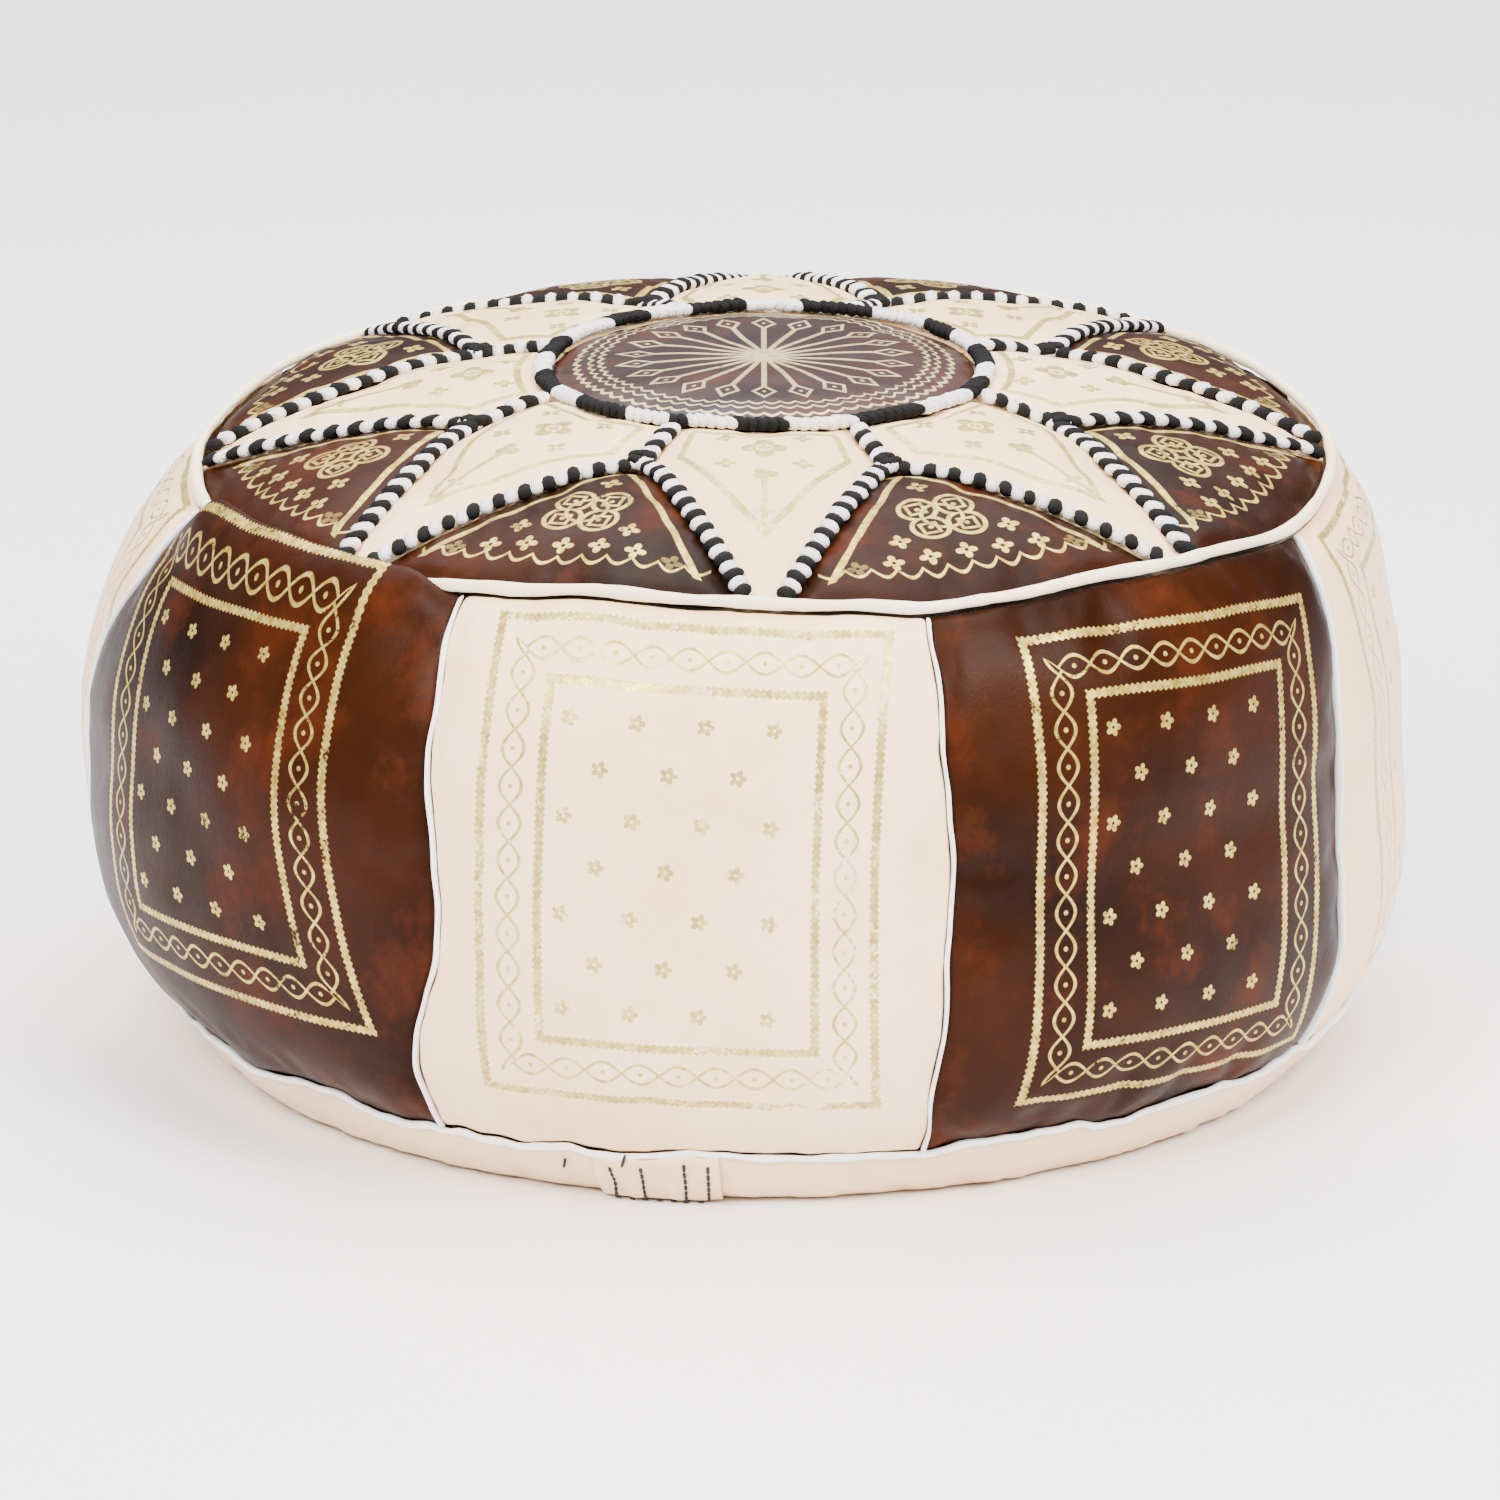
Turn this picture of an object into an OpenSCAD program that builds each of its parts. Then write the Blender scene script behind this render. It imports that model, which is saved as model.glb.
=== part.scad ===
// Stuffed leather floor pouf: a laced eight-point star on a domed top, eight
// printed side panels, and a two-piece base that opens with a zip.
// Origin on the floor under the middle, +Z up, the front towards -Y.

/* [Drum] */
// Widest diameter, half-way up the side
drum_d = 562; // [480:2:620]
// Diameter at the piped rim of the top
rim_d = 488; // [400:2:520]
// Height of the piped rim above the floor
rim_h = 256; // [200:1:300]
// Rise of the middle of the top above the rim
dome_h = 40; // [20:1:55]
// Diameter of the seam between the sides and the base
base_seam_d = 520; // [420:2:540]
// Height of that seam above the floor
base_seam_h = 26; // [16:1:34]
// Width of the base's edge that turns up from the floor to that seam
turn_up_w = 26; // [16:1:38]

/* [Leather] */
// Thickness of the goatskin
leather_t = 2; // [1.4:0.1:2.6]
// Gap where two skins meet at a seam
seam_gap = 0.6; // [0.3:0.1:1.2]
// Radius of the corded piping round the rim
piping_r = 3.4; // [2.4:0.1:4.5]
// Radius of the thin welt in the base seam
welt_r = 1.6; // [1:0.1:2.4]
// Thickness of the folded strip that stands in each side seam
side_welt_t = 2; // [1.2:0.1:3]
// How far that strip stands out of the side
side_welt_out = 2.6; // [1:0.1:4]

/* [Star] */
// Diameter of the round medallion
medallion_d = 184; // [150:2:210]
// Distance from the middle to the inner corner of each brown gore
apex_r = 133; // [124:1:150]
// Width of each star point where it meets the rim
tip_w = 16; // [12:1:26]
// Width of the thread lacing over a seam
lacing_w = 7; // [5:0.5:9]
// Height of the lacing above the leather
lacing_h = 2.6; // [1.5:0.1:4]
// Width of the thick lacing round the medallion
ring_w = 11; // [8:0.5:13]

/* [Zip] */
// Length of the row of teeth
zip_l = 300; // [240:3:330]
// Spacing of the teeth of one row
tooth_pitch = 3; // [2.5:0.5:5]
// Width of the opening in the leather over the zip
zip_slot_w = 15; // [13:0.5:18]
// Width of each zip tape
tape_w = 18; // [16:1:22]
// Width of the folded hem on each side of the opening
hem_w = 12; // [8:1:16]
// Length of the slider
slider_l = 18; // [14:1:22]
// Length of the pull from its hinge
pull_l = 24; // [18:1:32]

/* [Filling] */
// Cloth thickness of the inner bag
bag_t = 1; // [0.6:0.1:2]
// Gap between each layer and the next
layer_gap = 0.4; // [0.3:0.1:1]

/* [Hidden] */
$fn = 96;

points_of_star = 8;
star_step = 360 / points_of_star;
drum_r = drum_d / 2;
rim_r = rim_d / 2;
base_seam_r = base_seam_d / 2;
foot_r = base_seam_r - turn_up_w;
medallion_r = medallion_d / 2;
ring_mid_r = medallion_r + seam_gap / 2;

// Where each side seam stands round the drum, in degrees from the front (-Y)
// towards +X. The panels are cut by hand, so no two are the same width.
seam_deg = [-78, -30, 16, 65, 109, 153, 197, 240];

// Side and dome: how square the side is, and how flat the middle of the dome is
side_power = 3;
dome_power = 2.6;
side_steps = 16;
dome_steps = 12;
turn_up_steps = 5;

// The zip, from the floor up: hem, tapes, teeth and the slider's two plates
hem_h = 2 * leather_t + layer_gap;
tape_t = 0.8;
tape_z = hem_h + 0.2;
tape_edge_y = 2.3;
tooth_h = 2.4;
tooth_z = tape_z + tape_t / 2 - tooth_h / 2;
tooth_w = 0.45 * tooth_pitch;
tooth_overlap = 1;
stop_l = 3;
plate_t = 1.2;
slider_clear = 0.35;
slider_w = 10.4;
rail_w = 1;
wedge_l = 2;
lower_plate_z = tooth_z - slider_clear - plate_t;
upper_plate_z = tooth_z + tooth_h + slider_clear;

// The slider stands at the closed end, its wedge just past the last teeth
slider_front_x = zip_l / 2 + wedge_l + 2;
slider_back_x = slider_front_x - slider_l;
hinge_x = slider_back_x - 1.6;
hinge_z = 1.9;
pull_t = 1.2;
pull_w = 7;
neck_w = 4;
neck_l = 3;
pin_r = 0.6;
pin_clear = 0.05;
eye_r = 1.25;
lug_w = 1;
lug_y = neck_w / 2 + 0.2;

// The opening in the leather, longer at the open end so that the pull still
// lies in it when the slider is all the way back
slot_back_x = -zip_l / 2 - pull_l - 6;
slot_front_x = slider_front_x + stop_l + 4;

// The groove in the bag and its filling over the whole zip
groove_back_x = slot_back_x - hem_w - 4;
groove_front_x = slot_front_x + hem_w + 4;
groove_w = 2 * max(tape_edge_y + tape_w, zip_slot_w / 2 + hem_w) + 6;
groove_h = upper_plate_z + plate_t + 0.8;

// How far the bag and its filling lie inside the skin, and the bag's own seam
bag_inset = leather_t + layer_gap;
fill_inset = bag_inset + bag_t + layer_gap;
bag_seam_z = rim_h / 2;

// Patch over the front edge of the base: its width and where its middle stands
patch_w = 54;
patch_deg = -10;
patch_t = 1.4;
patch_gap = 0.3;
stitch_r = 0.45;
patch_rows = [-20, -7, 11, 21];

// Radius of the outer skin of the side at height z
function side_share(z) = (z - base_seam_h) / (rim_h - base_seam_h);
function side_chord(z) = base_seam_r + (rim_r - base_seam_r) * side_share(z);
function side_r(z) =
    side_chord(z)
    + (drum_r - (rim_r + base_seam_r) / 2)
      * (1 - pow(abs(2 * side_share(z) - 1), side_power));

// Height of the outer skin of the top at radius r
function dome_z(r) = rim_h + dome_h * (1 - pow(r / rim_r, dome_power));

// Height of the outer skin of the base at radius r: flat, then turned up
function base_z(r) =
    r <= foot_r ? 0 : base_seam_h * pow((r - foot_r) / (base_seam_r - foot_r), 1.6);

function polar(r, deg) = [r * sin(deg), -r * cos(deg)];

// Outline of the whole skin from the middle of the base to the middle of the
// top, drawn in by the given distance
function skin_outline(inset) = concat(
    [[0, inset]],
    [[foot_r - inset, inset]],
    [for (k = [1 : turn_up_steps])
        let (r = foot_r + (base_seam_r - foot_r) * k / turn_up_steps)
        [r - inset, max(inset, base_z(r) + inset / 2)]],
    [for (k = [1 : side_steps - 1])
        let (z = base_seam_h + (rim_h - base_seam_h) * k / side_steps)
        [side_r(z) - inset, z]],
    [for (k = [0 : dome_steps])
        let (r = rim_r * (1 - k / dome_steps))
        [max(0, r - inset), dome_z(r) - inset]]
);

// A drum of revolution inside the skin, drawn in by inset from the skin, the
// piping and the base welt
module drum(inset) {
    clear_of_cord = layer_gap + inset - bag_inset;
    rotate_extrude()
        difference() {
            polygon(skin_outline(inset));
            translate([rim_r, rim_h]) circle(piping_r + clear_of_cord);
            translate([base_seam_r, base_seam_h]) circle(welt_r + clear_of_cord);
        }
}

// The same with a groove under it that leaves room for the zip
module drum_over_zip(inset, grow) {
    difference() {
        drum(inset);
        translate([groove_back_x - grow, -groove_w / 2 - grow, -1])
            cube([groove_front_x - groove_back_x + 2 * grow,
                  groove_w + 2 * grow, groove_h + grow + 1]);
    }
}

// A shell that follows the dome, from low to high above the outer skin
module dome_shell(low, high, inner_r, outer_r) {
    step = (outer_r - inner_r) / dome_steps;
    radii = [for (k = [0 : dome_steps]) inner_r + k * step];
    rotate_extrude()
        polygon(concat(
            [for (r = radii) [r, dome_z(r) + high]],
            [for (k = [dome_steps : -1 : 0]) [radii[k], dome_z(radii[k]) + low]]
        ));
}

top_edge_r = rim_r - piping_r - seam_gap;

module top_skin() {
    dome_shell(-leather_t, 0, 0, top_edge_r);
}

// Corners of the seam lines round a gore whose middle faces the front
tip_half = asin(tip_w / 2 / rim_r);
gore_apex = polar(apex_r, 0);
gore_left = polar(rim_r, tip_half - star_step / 2);
gore_right = polar(rim_r, star_step / 2 - tip_half);

// Unit vectors along a line and to its left
function along(a, b) = (b - a) / norm(b - a);
function left_of(u) = [-u[1], u[0]];

// Where the edges of two strips of width w that leave a at u and at v meet,
// on the side between u and v, going left from u
function strip_corner(a, u, v, w) =
    a + (w / 2) * (u + v) / (u[0] * v[1] - u[1] * v[0]);

// The Y of seams at that gore's apex as one outline of width w: a spoke
// towards the medallion, ending at inner_r, and two arms past the rim
module gore_seams(w, inner_r) {
    hub = polar(inner_r, 0);
    spoke = along(gore_apex, hub);
    left_arm = along(gore_apex, gore_left);
    right_arm = along(gore_apex, gore_right);
    arm_l = 1.1 * norm(gore_left - gore_apex);
    left_end = gore_apex + arm_l * left_arm;
    right_end = gore_apex + arm_l * right_arm;
    half = w / 2;
    polygon([
        hub - half * left_of(spoke), hub + half * left_of(spoke),
        strip_corner(gore_apex, spoke, left_arm, w),
        left_end - half * left_of(left_arm), left_end + half * left_of(left_arm),
        strip_corner(gore_apex, left_arm, right_arm, w),
        right_end - half * left_of(right_arm), right_end + half * left_of(right_arm),
        strip_corner(gore_apex, right_arm, spoke, w)
    ]);
}

function gore_deg(i) = star_step * (i - 0.5);
function kite_deg(i) = star_step * (i - 1);
module through_top() {
    translate([0, 0, rim_h - 30])
        linear_extrude(dome_h + 60) children();
}

// One brown triangle between two star points
module gore(i) {
    color("saddlebrown")
    rotate(gore_deg(i))
        difference() {
            intersection() {
                top_skin();
                through_top()
                    polygon([gore_apex, gore_left, 1.1 * gore_left,
                             1.1 * gore_right, gore_right]);
            }
            through_top() gore_seams(seam_gap, medallion_r);
        }
}

// One cream star point, from the medallion's lacing to the rim
module kite(i) {
    left_apex = polar(apex_r, -star_step / 2);
    right_apex = polar(apex_r, star_step / 2);
    left_tip = polar(rim_r, -tip_half);
    right_tip = polar(rim_r, tip_half);
    color("antiquewhite")
    rotate(kite_deg(i))
        difference() {
            intersection() {
                dome_shell(-leather_t, 0, medallion_r + seam_gap, top_edge_r);
                through_top()
                    polygon([[0, 0], left_apex, left_tip, 1.1 * left_tip,
                             1.1 * right_tip, right_tip, right_apex]);
            }
            through_top()
                for (turn = [-star_step / 2, star_step / 2])
                    rotate(turn) gore_seams(seam_gap, medallion_r / 2);
        }
}

module medallion() {
    color("sienna")
    dome_shell(-leather_t, 0, 0, medallion_r);
}

// Black and white lacing over the three seams at one gore
module star_lacing(i) {
    ring_edge_r = ring_mid_r + ring_w / 2;
    color("dimgray")
    rotate(gore_deg(i))
        intersection() {
            dome_shell(seam_gap / 2, lacing_h, ring_edge_r + seam_gap / 2, top_edge_r);
            through_top() gore_seams(lacing_w, medallion_r);
        }
}

module ring_lacing() {
    color("gainsboro")
    dome_shell(seam_gap / 2, lacing_h, ring_mid_r - ring_w / 2, ring_mid_r + ring_w / 2);
}

// Section of the side skin, t thick and standing out by out, that ends at the
// piping and at the base welt
module side_section(t, out) {
    heights = [for (k = [0 : side_steps]) base_seam_h + (rim_h - base_seam_h) * k / side_steps];
    difference() {
        polygon(concat(
            [for (z = heights) [side_r(z) + out, z]],
            [for (k = [side_steps : -1 : 0]) [side_r(heights[k]) - t, heights[k]]]
        ));
        translate([rim_r, rim_h]) circle(piping_r + seam_gap + out);
        hull()
            for (inward = [0, t / 2])
                translate([base_seam_r - inward, base_seam_h]) circle(welt_r + seam_gap + out);
    }
}

function seam_after(i) = i < points_of_star ? seam_deg[i] : seam_deg[0] + 360;
seam_half_deg = asin((side_welt_t / 2 + seam_gap / 2) / base_seam_r);
welt_half_deg = asin(side_welt_t / 2 / drum_r);

// One side panel, between its seam and the next
module side_panel(i) {
    start = seam_deg[i - 1] + seam_half_deg;
    sweep = seam_after(i) - seam_deg[i - 1] - 2 * seam_half_deg;
    color(i % 2 == 1 ? "saddlebrown" : "antiquewhite")
    rotate(start - 90)
        rotate_extrude(angle = sweep)
            side_section(leather_t, 0);
}

// The thin pale strip that stands in a side seam
module side_welt(i) {
    color("white")
    rotate(seam_deg[i - 1] - welt_half_deg - 90)
        rotate_extrude(angle = 2 * welt_half_deg)
            side_section(leather_t, side_welt_out);
}

module rim_piping() {
    color("cornsilk")
    rotate_extrude()
        translate([rim_r, rim_h]) circle(piping_r);
}

module base_welt() {
    color("white")
    rotate_extrude()
        translate([base_seam_r, base_seam_h]) circle(welt_r);
}

base_edge_r = base_seam_r - welt_r - seam_gap;

// The whole base skin, flat on the floor and turned up at its edge
module base_skin() {
    radii = [for (k = [0 : turn_up_steps]) foot_r + (base_edge_r - foot_r) * k / turn_up_steps];
    rotate_extrude()
        polygon(concat(
            [[0, 0]],
            [for (r = radii) [r, base_z(r)]],
            [for (k = [turn_up_steps : -1 : 0]) [radii[k], base_z(radii[k]) + leather_t]],
            [[0, leather_t]]
        ));
}

// The opening over the zip, with round ends
module zip_slot(h) {
    end_r = zip_slot_w / 2;
    translate([0, 0, -1])
        linear_extrude(h + 1) {
            translate([slot_back_x + end_r, -end_r])
                square([slot_front_x - slot_back_x - zip_slot_w, zip_slot_w]);
            for (x = [slot_back_x + end_r, slot_front_x - end_r])
                translate([x, 0]) circle(end_r);
        }
}

// Half of the base with the hem that is folded back along the zip
module base_half() {
    color("antiquewhite")
    difference() {
        union() {
            base_skin();
            translate([slot_back_x - hem_w, -zip_slot_w / 2 - hem_w, leather_t / 2])
                cube([slot_front_x - slot_back_x + 2 * hem_w,
                      zip_slot_w + 2 * hem_w, hem_h - leather_t / 2]);
        }
        zip_slot(hem_h + 1);
        translate([-drum_r, -seam_gap / 2, -1])
            cube([drum_d, drum_r, base_seam_h + hem_h + 2]);
    }
}

// A strip that lies over the turned-up edge of the base, w wide and t thick,
// with its middle at deg, from low_r to high_r, and gap clear of what is under it
module edge_strip(deg, w, low_r, high_r, gap, t) {
    half_deg = asin(w / 2 / base_seam_r);
    radii = [for (k = [0 : turn_up_steps]) low_r + (high_r - low_r) * k / turn_up_steps];
    rotate(deg - half_deg - 90)
        rotate_extrude(angle = 2 * half_deg)
            polygon(concat(
                [for (r = radii) [r + gap + t, base_z(r) - 0.1]],
                [for (k = [turn_up_steps : -1 : 0]) [radii[k] + gap, base_z(radii[k]) - 0.1]]
            ));
}

// Leather patch folded over the front edge of the base
module edge_patch() {
    color("antiquewhite")
    edge_strip(patch_deg, patch_w, foot_r + 4, base_edge_r, patch_gap, patch_t);
}

// Rows of dark basting thread that run up the patch
module patch_stitches() {
    color("black")
    for (x = patch_rows)
        edge_strip(patch_deg + asin(x / base_seam_r), 2 * stitch_r, foot_r + 9, base_edge_r - 3,
                   2 * patch_gap + patch_t, 2 * stitch_r);
}

// One zip tape, on the side of the zip that side (-1 front, 1 back) names
module zip_tape(side) {
    color("tan")
    translate([groove_back_x + 3, side > 0 ? tape_edge_y : -tape_edge_y - tape_w, tape_z])
        cube([groove_front_x - groove_back_x - 6, tape_w, tape_t]);
}

// One row of teeth, the back row half a pitch along so that the two mesh
module zip_teeth(side) {
    shift = side > 0 ? tooth_pitch / 2 : 0;
    color("goldenrod")
    for (x = [-zip_l / 2 + shift : tooth_pitch : zip_l / 2 - tooth_w])
        translate([x, side > 0 ? -tooth_overlap : -tape_edge_y, tooth_z])
            cube([tooth_w, tape_edge_y + tooth_overlap, tooth_h]);
}

// Stops at both ends of the teeth: one across the open end, one on each tape
// at the closed end
module zip_stops() {
    stop_gap = 0.4;
    color("goldenrod") {
        translate([-zip_l / 2 - stop_l - 1, -tape_edge_y, tooth_z])
            cube([stop_l, 2 * tape_edge_y, tooth_h]);
        for (y = [-tape_edge_y, stop_gap / 2])
            translate([slider_front_x + 0.6, y, tooth_z])
                cube([stop_l, tape_edge_y - stop_gap / 2, tooth_h]);
    }
}

// Slider: two plates joined by the wedge that parts the teeth, with rails that
// guide the tapes and two lugs that hold the hinge pin of the pull
module zip_slider() {
    low_rail_z = lower_plate_z + plate_t / 2;
    high_rail_z = tape_z + tape_t + slider_clear;
    wedge_w = 2 * tape_edge_y - 1.4;
    color("goldenrod") {
        for (z = [lower_plate_z, upper_plate_z])
            translate([slider_back_x, -slider_w / 2, z])
                cube([slider_l, slider_w, plate_t]);
        translate([slider_front_x - wedge_l, -wedge_w / 2, lower_plate_z])
            cube([wedge_l, wedge_w, upper_plate_z - lower_plate_z + plate_t]);
        for (y = [-slider_w / 2, slider_w / 2 - rail_w]) {
            translate([slider_back_x, y, low_rail_z])
                cube([slider_l, rail_w, tape_z - slider_clear - low_rail_z]);
            translate([slider_back_x, y, high_rail_z])
                cube([slider_l, rail_w, upper_plate_z + plate_t / 2 - high_rail_z]);
        }
        for (y = [-lug_y - lug_w, lug_y])
            translate([hinge_x - 1, y, hinge_z - 1.2])
                cube([slider_back_x - hinge_x + 2, lug_w, lower_plate_z + plate_t - hinge_z + 1.2]);
        translate([hinge_x, lug_y + lug_w / 2, hinge_z])
            rotate([90, 0, 0]) cylinder(h = 2 * lug_y + lug_w, r = pin_r);
    }
}

// Pull tab with an eye round the slider's pin, lying back along the zip
module zip_pull() {
    tab_end_x = hinge_x - pull_l + pull_w / 2;
    color("goldenrod")
    difference() {
        union() {
            translate([hinge_x, neck_w / 2, hinge_z])
                rotate([90, 0, 0]) cylinder(h = neck_w, r = eye_r);
            translate([hinge_x - neck_l - 1, -neck_w / 2, hinge_z - pull_t / 2])
                cube([neck_l + 1, neck_w, pull_t]);
            translate([tab_end_x, -pull_w / 2, hinge_z - pull_t / 2])
                cube([hinge_x - neck_l - tab_end_x, pull_w, pull_t]);
            translate([tab_end_x, 0, hinge_z - pull_t / 2])
                cylinder(h = pull_t, d = pull_w);
        }
        translate([hinge_x, neck_w, hinge_z])
            rotate([90, 0, 0]) cylinder(h = 2 * neck_w, r = pin_r + pin_clear);
    }
}

// Cloth bag in two halves that meet half-way up
module inner_bag(upper) {
    color("ivory")
    difference() {
        drum_over_zip(bag_inset, 0);
        drum_over_zip(bag_inset + bag_t, bag_t);
        translate([-drum_r, -drum_r, upper ? -1 : bag_seam_z - layer_gap / 2])
            cube([drum_d, drum_d, upper ? bag_seam_z + layer_gap / 2 + 1 : rim_h + dome_h]);
    }
}

module stuffing() {
    color("beige")
    drum_over_zip(fill_inset, bag_t + layer_gap);
}

for (i = [1 : points_of_star]) {
    kite(i);
    gore(i);
    side_panel(i);
    side_welt(i);
    star_lacing(i);
}
medallion();
ring_lacing();
rim_piping();
base_welt();
base_half();  // base_front
mirror([0, 1, 0]) base_half();  // base_back
edge_patch();
patch_stitches();
zip_tape(-1);  // zip_tape_front
zip_tape(1);  // zip_tape_back
zip_teeth(-1);  // zip_teeth_front
zip_teeth(1);  // zip_teeth_back
zip_stops();
zip_slider();
zip_pull();
inner_bag(true);  // inner_bag_upper
inner_bag(false);  // inner_bag_lower
stuffing();
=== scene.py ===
"""Stuffed leather floor pouf: laced star top, gold-stamped side panels, zipped base."""

import math
import random

import bmesh
import bpy
from mathutils import Matrix, Vector, kdtree, noise


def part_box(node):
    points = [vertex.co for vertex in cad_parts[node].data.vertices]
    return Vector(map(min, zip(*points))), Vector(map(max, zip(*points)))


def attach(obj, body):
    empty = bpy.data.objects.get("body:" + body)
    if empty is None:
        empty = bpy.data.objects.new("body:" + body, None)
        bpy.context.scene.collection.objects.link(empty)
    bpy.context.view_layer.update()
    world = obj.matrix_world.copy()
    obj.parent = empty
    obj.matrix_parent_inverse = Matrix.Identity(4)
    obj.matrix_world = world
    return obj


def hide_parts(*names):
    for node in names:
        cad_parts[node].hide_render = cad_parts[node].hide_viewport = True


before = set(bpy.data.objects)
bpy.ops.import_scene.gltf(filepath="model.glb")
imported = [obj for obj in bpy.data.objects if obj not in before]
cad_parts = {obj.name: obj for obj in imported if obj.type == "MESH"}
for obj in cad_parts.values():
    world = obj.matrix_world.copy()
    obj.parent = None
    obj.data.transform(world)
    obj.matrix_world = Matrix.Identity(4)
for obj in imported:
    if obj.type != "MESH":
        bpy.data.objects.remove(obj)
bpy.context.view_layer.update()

MM = 0.001
STAR_POINTS = 8
STAR_STEP = 360 / STAR_POINTS


# Sizes of the frame, in metres -------------------------------------------------------------------

piping_low, piping_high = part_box("rim_piping")
welt_low, welt_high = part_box("base_welt")
PIPING_R = (piping_high.z - piping_low.z) / 2
RIM_R = piping_high.x - PIPING_R
RIM_Z = (piping_high.z + piping_low.z) / 2
WELT_R = (welt_high.z - welt_low.z) / 2
SEAM_R = welt_high.x - WELT_R
SEAM_Z = (welt_high.z + welt_low.z) / 2
MEDALLION_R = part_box("medallion")[1].x
TOP_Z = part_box("medallion")[1].z
DRUM_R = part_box("side_panel_4")[1].x
APEX_R = 133 * MM
TURN_UP = 26 * MM
FOOT_R = SEAM_R - TURN_UP
TIP_HALF_DEG = math.degrees(math.asin(8 * MM / RIM_R))
WHOLE_TURN = 2 * math.pi

# Where the side seams stand, in degrees round from the front to the right
SEAM_DEG = [-78, -30, 16, 65, 109, 153, 197, 240]

# Where each side panel's print is centred, in degrees round and mm below the rim, and its turn
PRINT_DEG = [-53.8, -6.8, 40.8, 87, 131, 175, 218.5, 261]
PRINT_DROP = [100, 111, 124, 112, 108, 112, 110, 106]
PRINT_TILT = [-1.0, 0.6, 3.5, 0.5, -0.6, 0.8, -1.0, 0.4]

# How the hand-stuffed rim rises and dips, in mm, by degrees round from the front
RIM_WAVE = [(-76, -8), (-62, -5.5), (-52, -3), (-44, -1.6), (-33, 0), (-26, 2.3), (-16, 6), (-6, 4.3),
            (8, 1.8), (16, -1.4), (23, 0), (34, 2.7), (47, 0.5), (65, -5.5), (83, -1.4), (100, 2),
            (125, 6), (150, 8), (180, 8), (205, 7), (235, 4), (262, -2)]


def smooth(x):
    x = min(1.0, max(0.0, x))
    return x * x * (3 - 2 * x)


def side_radius(z):
    share = (z - SEAM_Z) / (RIM_Z - SEAM_Z)
    chord = SEAM_R + (RIM_R - SEAM_R) * share
    return chord + (DRUM_R - (RIM_R + SEAM_R) / 2) * (1 - abs(2 * share - 1) ** 3)


def dome_height(r):
    return RIM_Z + (TOP_Z - RIM_Z) * (1 - (min(r, RIM_R) / RIM_R) ** 2.6)


def around(deg, r, z):
    angle = math.radians(deg)
    return Vector((r * math.sin(angle), -r * math.cos(angle), z))


def on_dome(deg, r, out=0.0):
    return around(deg, r, dome_height(r) + out)


# Heights at even steps of length down the side, from the rim to the base seam
SIDE_STEPS = 240
side_drop = [0.0]
for step in range(SIDE_STEPS):
    z_a = RIM_Z + (SEAM_Z - RIM_Z) * step / SIDE_STEPS
    z_b = RIM_Z + (SEAM_Z - RIM_Z) * (step + 1) / SIDE_STEPS
    side_drop.append(side_drop[-1] + math.hypot(z_b - z_a, side_radius(z_b) - side_radius(z_a)))
SIDE_LENGTH = side_drop[-1]


def height_at_drop(drop):
    for step in range(SIDE_STEPS):
        if side_drop[step + 1] >= drop:
            part = (drop - side_drop[step]) / (side_drop[step + 1] - side_drop[step])
            return RIM_Z + (SEAM_Z - RIM_Z) * (step + part) / SIDE_STEPS
    return SEAM_Z


def rim_lift(deg):
    table = RIM_WAVE + [(RIM_WAVE[0][0] + 360, RIM_WAVE[0][1])]
    deg = (deg - table[0][0]) % 360 + table[0][0]
    for (deg_a, lift_a), (deg_b, lift_b) in zip(table, table[1:]):
        if deg <= deg_b:
            return (lift_a + (lift_b - lift_a) * smooth((deg - deg_a) / (deg_b - deg_a))) * MM
    return 0.0


# How the stuffed drum leans, dents, dimples at the gores' points and ripples at its base seam
LEAN = 10 * MM
DENT = 3.5 * MM
DIMPLE = 3.5 * MM
DIMPLE_R = 20 * MM
BACK_LIFT = 3 * MM
RIPPLE = 4.5 * MM
FINE_RIPPLE = 2.2 * MM
RIPPLE_REACH = 14 * MM


def settle(p):
    """Where a point of the even drum lies once the filling has settled by hand."""
    deg = math.degrees(math.atan2(p.x, -p.y))
    r = math.hypot(p.x, p.y)
    up = min(1.0, max(0.0, (p.z - SEAM_Z) / (RIM_Z - SEAM_Z)))
    lift = rim_lift(deg) * up ** 1.3 * min(1.0, r / RIM_R) ** 2
    lift += BACK_LIFT * up * smooth(r / RIM_R) * smooth(-math.cos(math.radians(deg)) * 1.2)
    sunk = 0.0
    if p.z > RIM_Z:
        for i in range(STAR_POINTS):
            apex = around((i + 0.5) * STAR_STEP, APEX_R, 0)
            sunk += DIMPLE * math.exp(-((p.x - apex.x) ** 2 + (p.y - apex.y) ** 2) / DIMPLE_R ** 2)
    lean = Vector((-LEAN * math.sin(math.pi * up) * min(1.0, abs(p.x) / 0.2), 0, 0))
    dent = noise.noise(Vector((p.x, p.y, p.z * 1.5)) * 11) * DENT * math.sin(math.pi * min(up, 0.97))
    outward = Vector((p.x, p.y, 0)).normalized() if r > 1e-6 else Vector((0, 0, 0))
    here = around(deg, SEAM_R, 0)
    ripple = RIPPLE * noise.noise(here * 24) + FINE_RIPPLE * noise.noise(here * 80)
    ripple *= math.exp(-((p.z - SEAM_Z) / RIPPLE_REACH) ** 2) * smooth((r - 0.23) / 0.025)
    return p + lean + outward * dent + Vector((0, 0, lift - sunk + ripple))


# Material helpers --------------------------------------------------------------------------------


def hex_colour(text):
    """An sRGB hex colour as the linear colour that shaders take."""
    values = [int(text[i:i + 2], 16) / 255 for i in (1, 3, 5)]
    return [v / 12.92 if v <= 0.04045 else ((v + 0.055) / 1.055) ** 2.4 for v in values] + [1.0]


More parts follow.
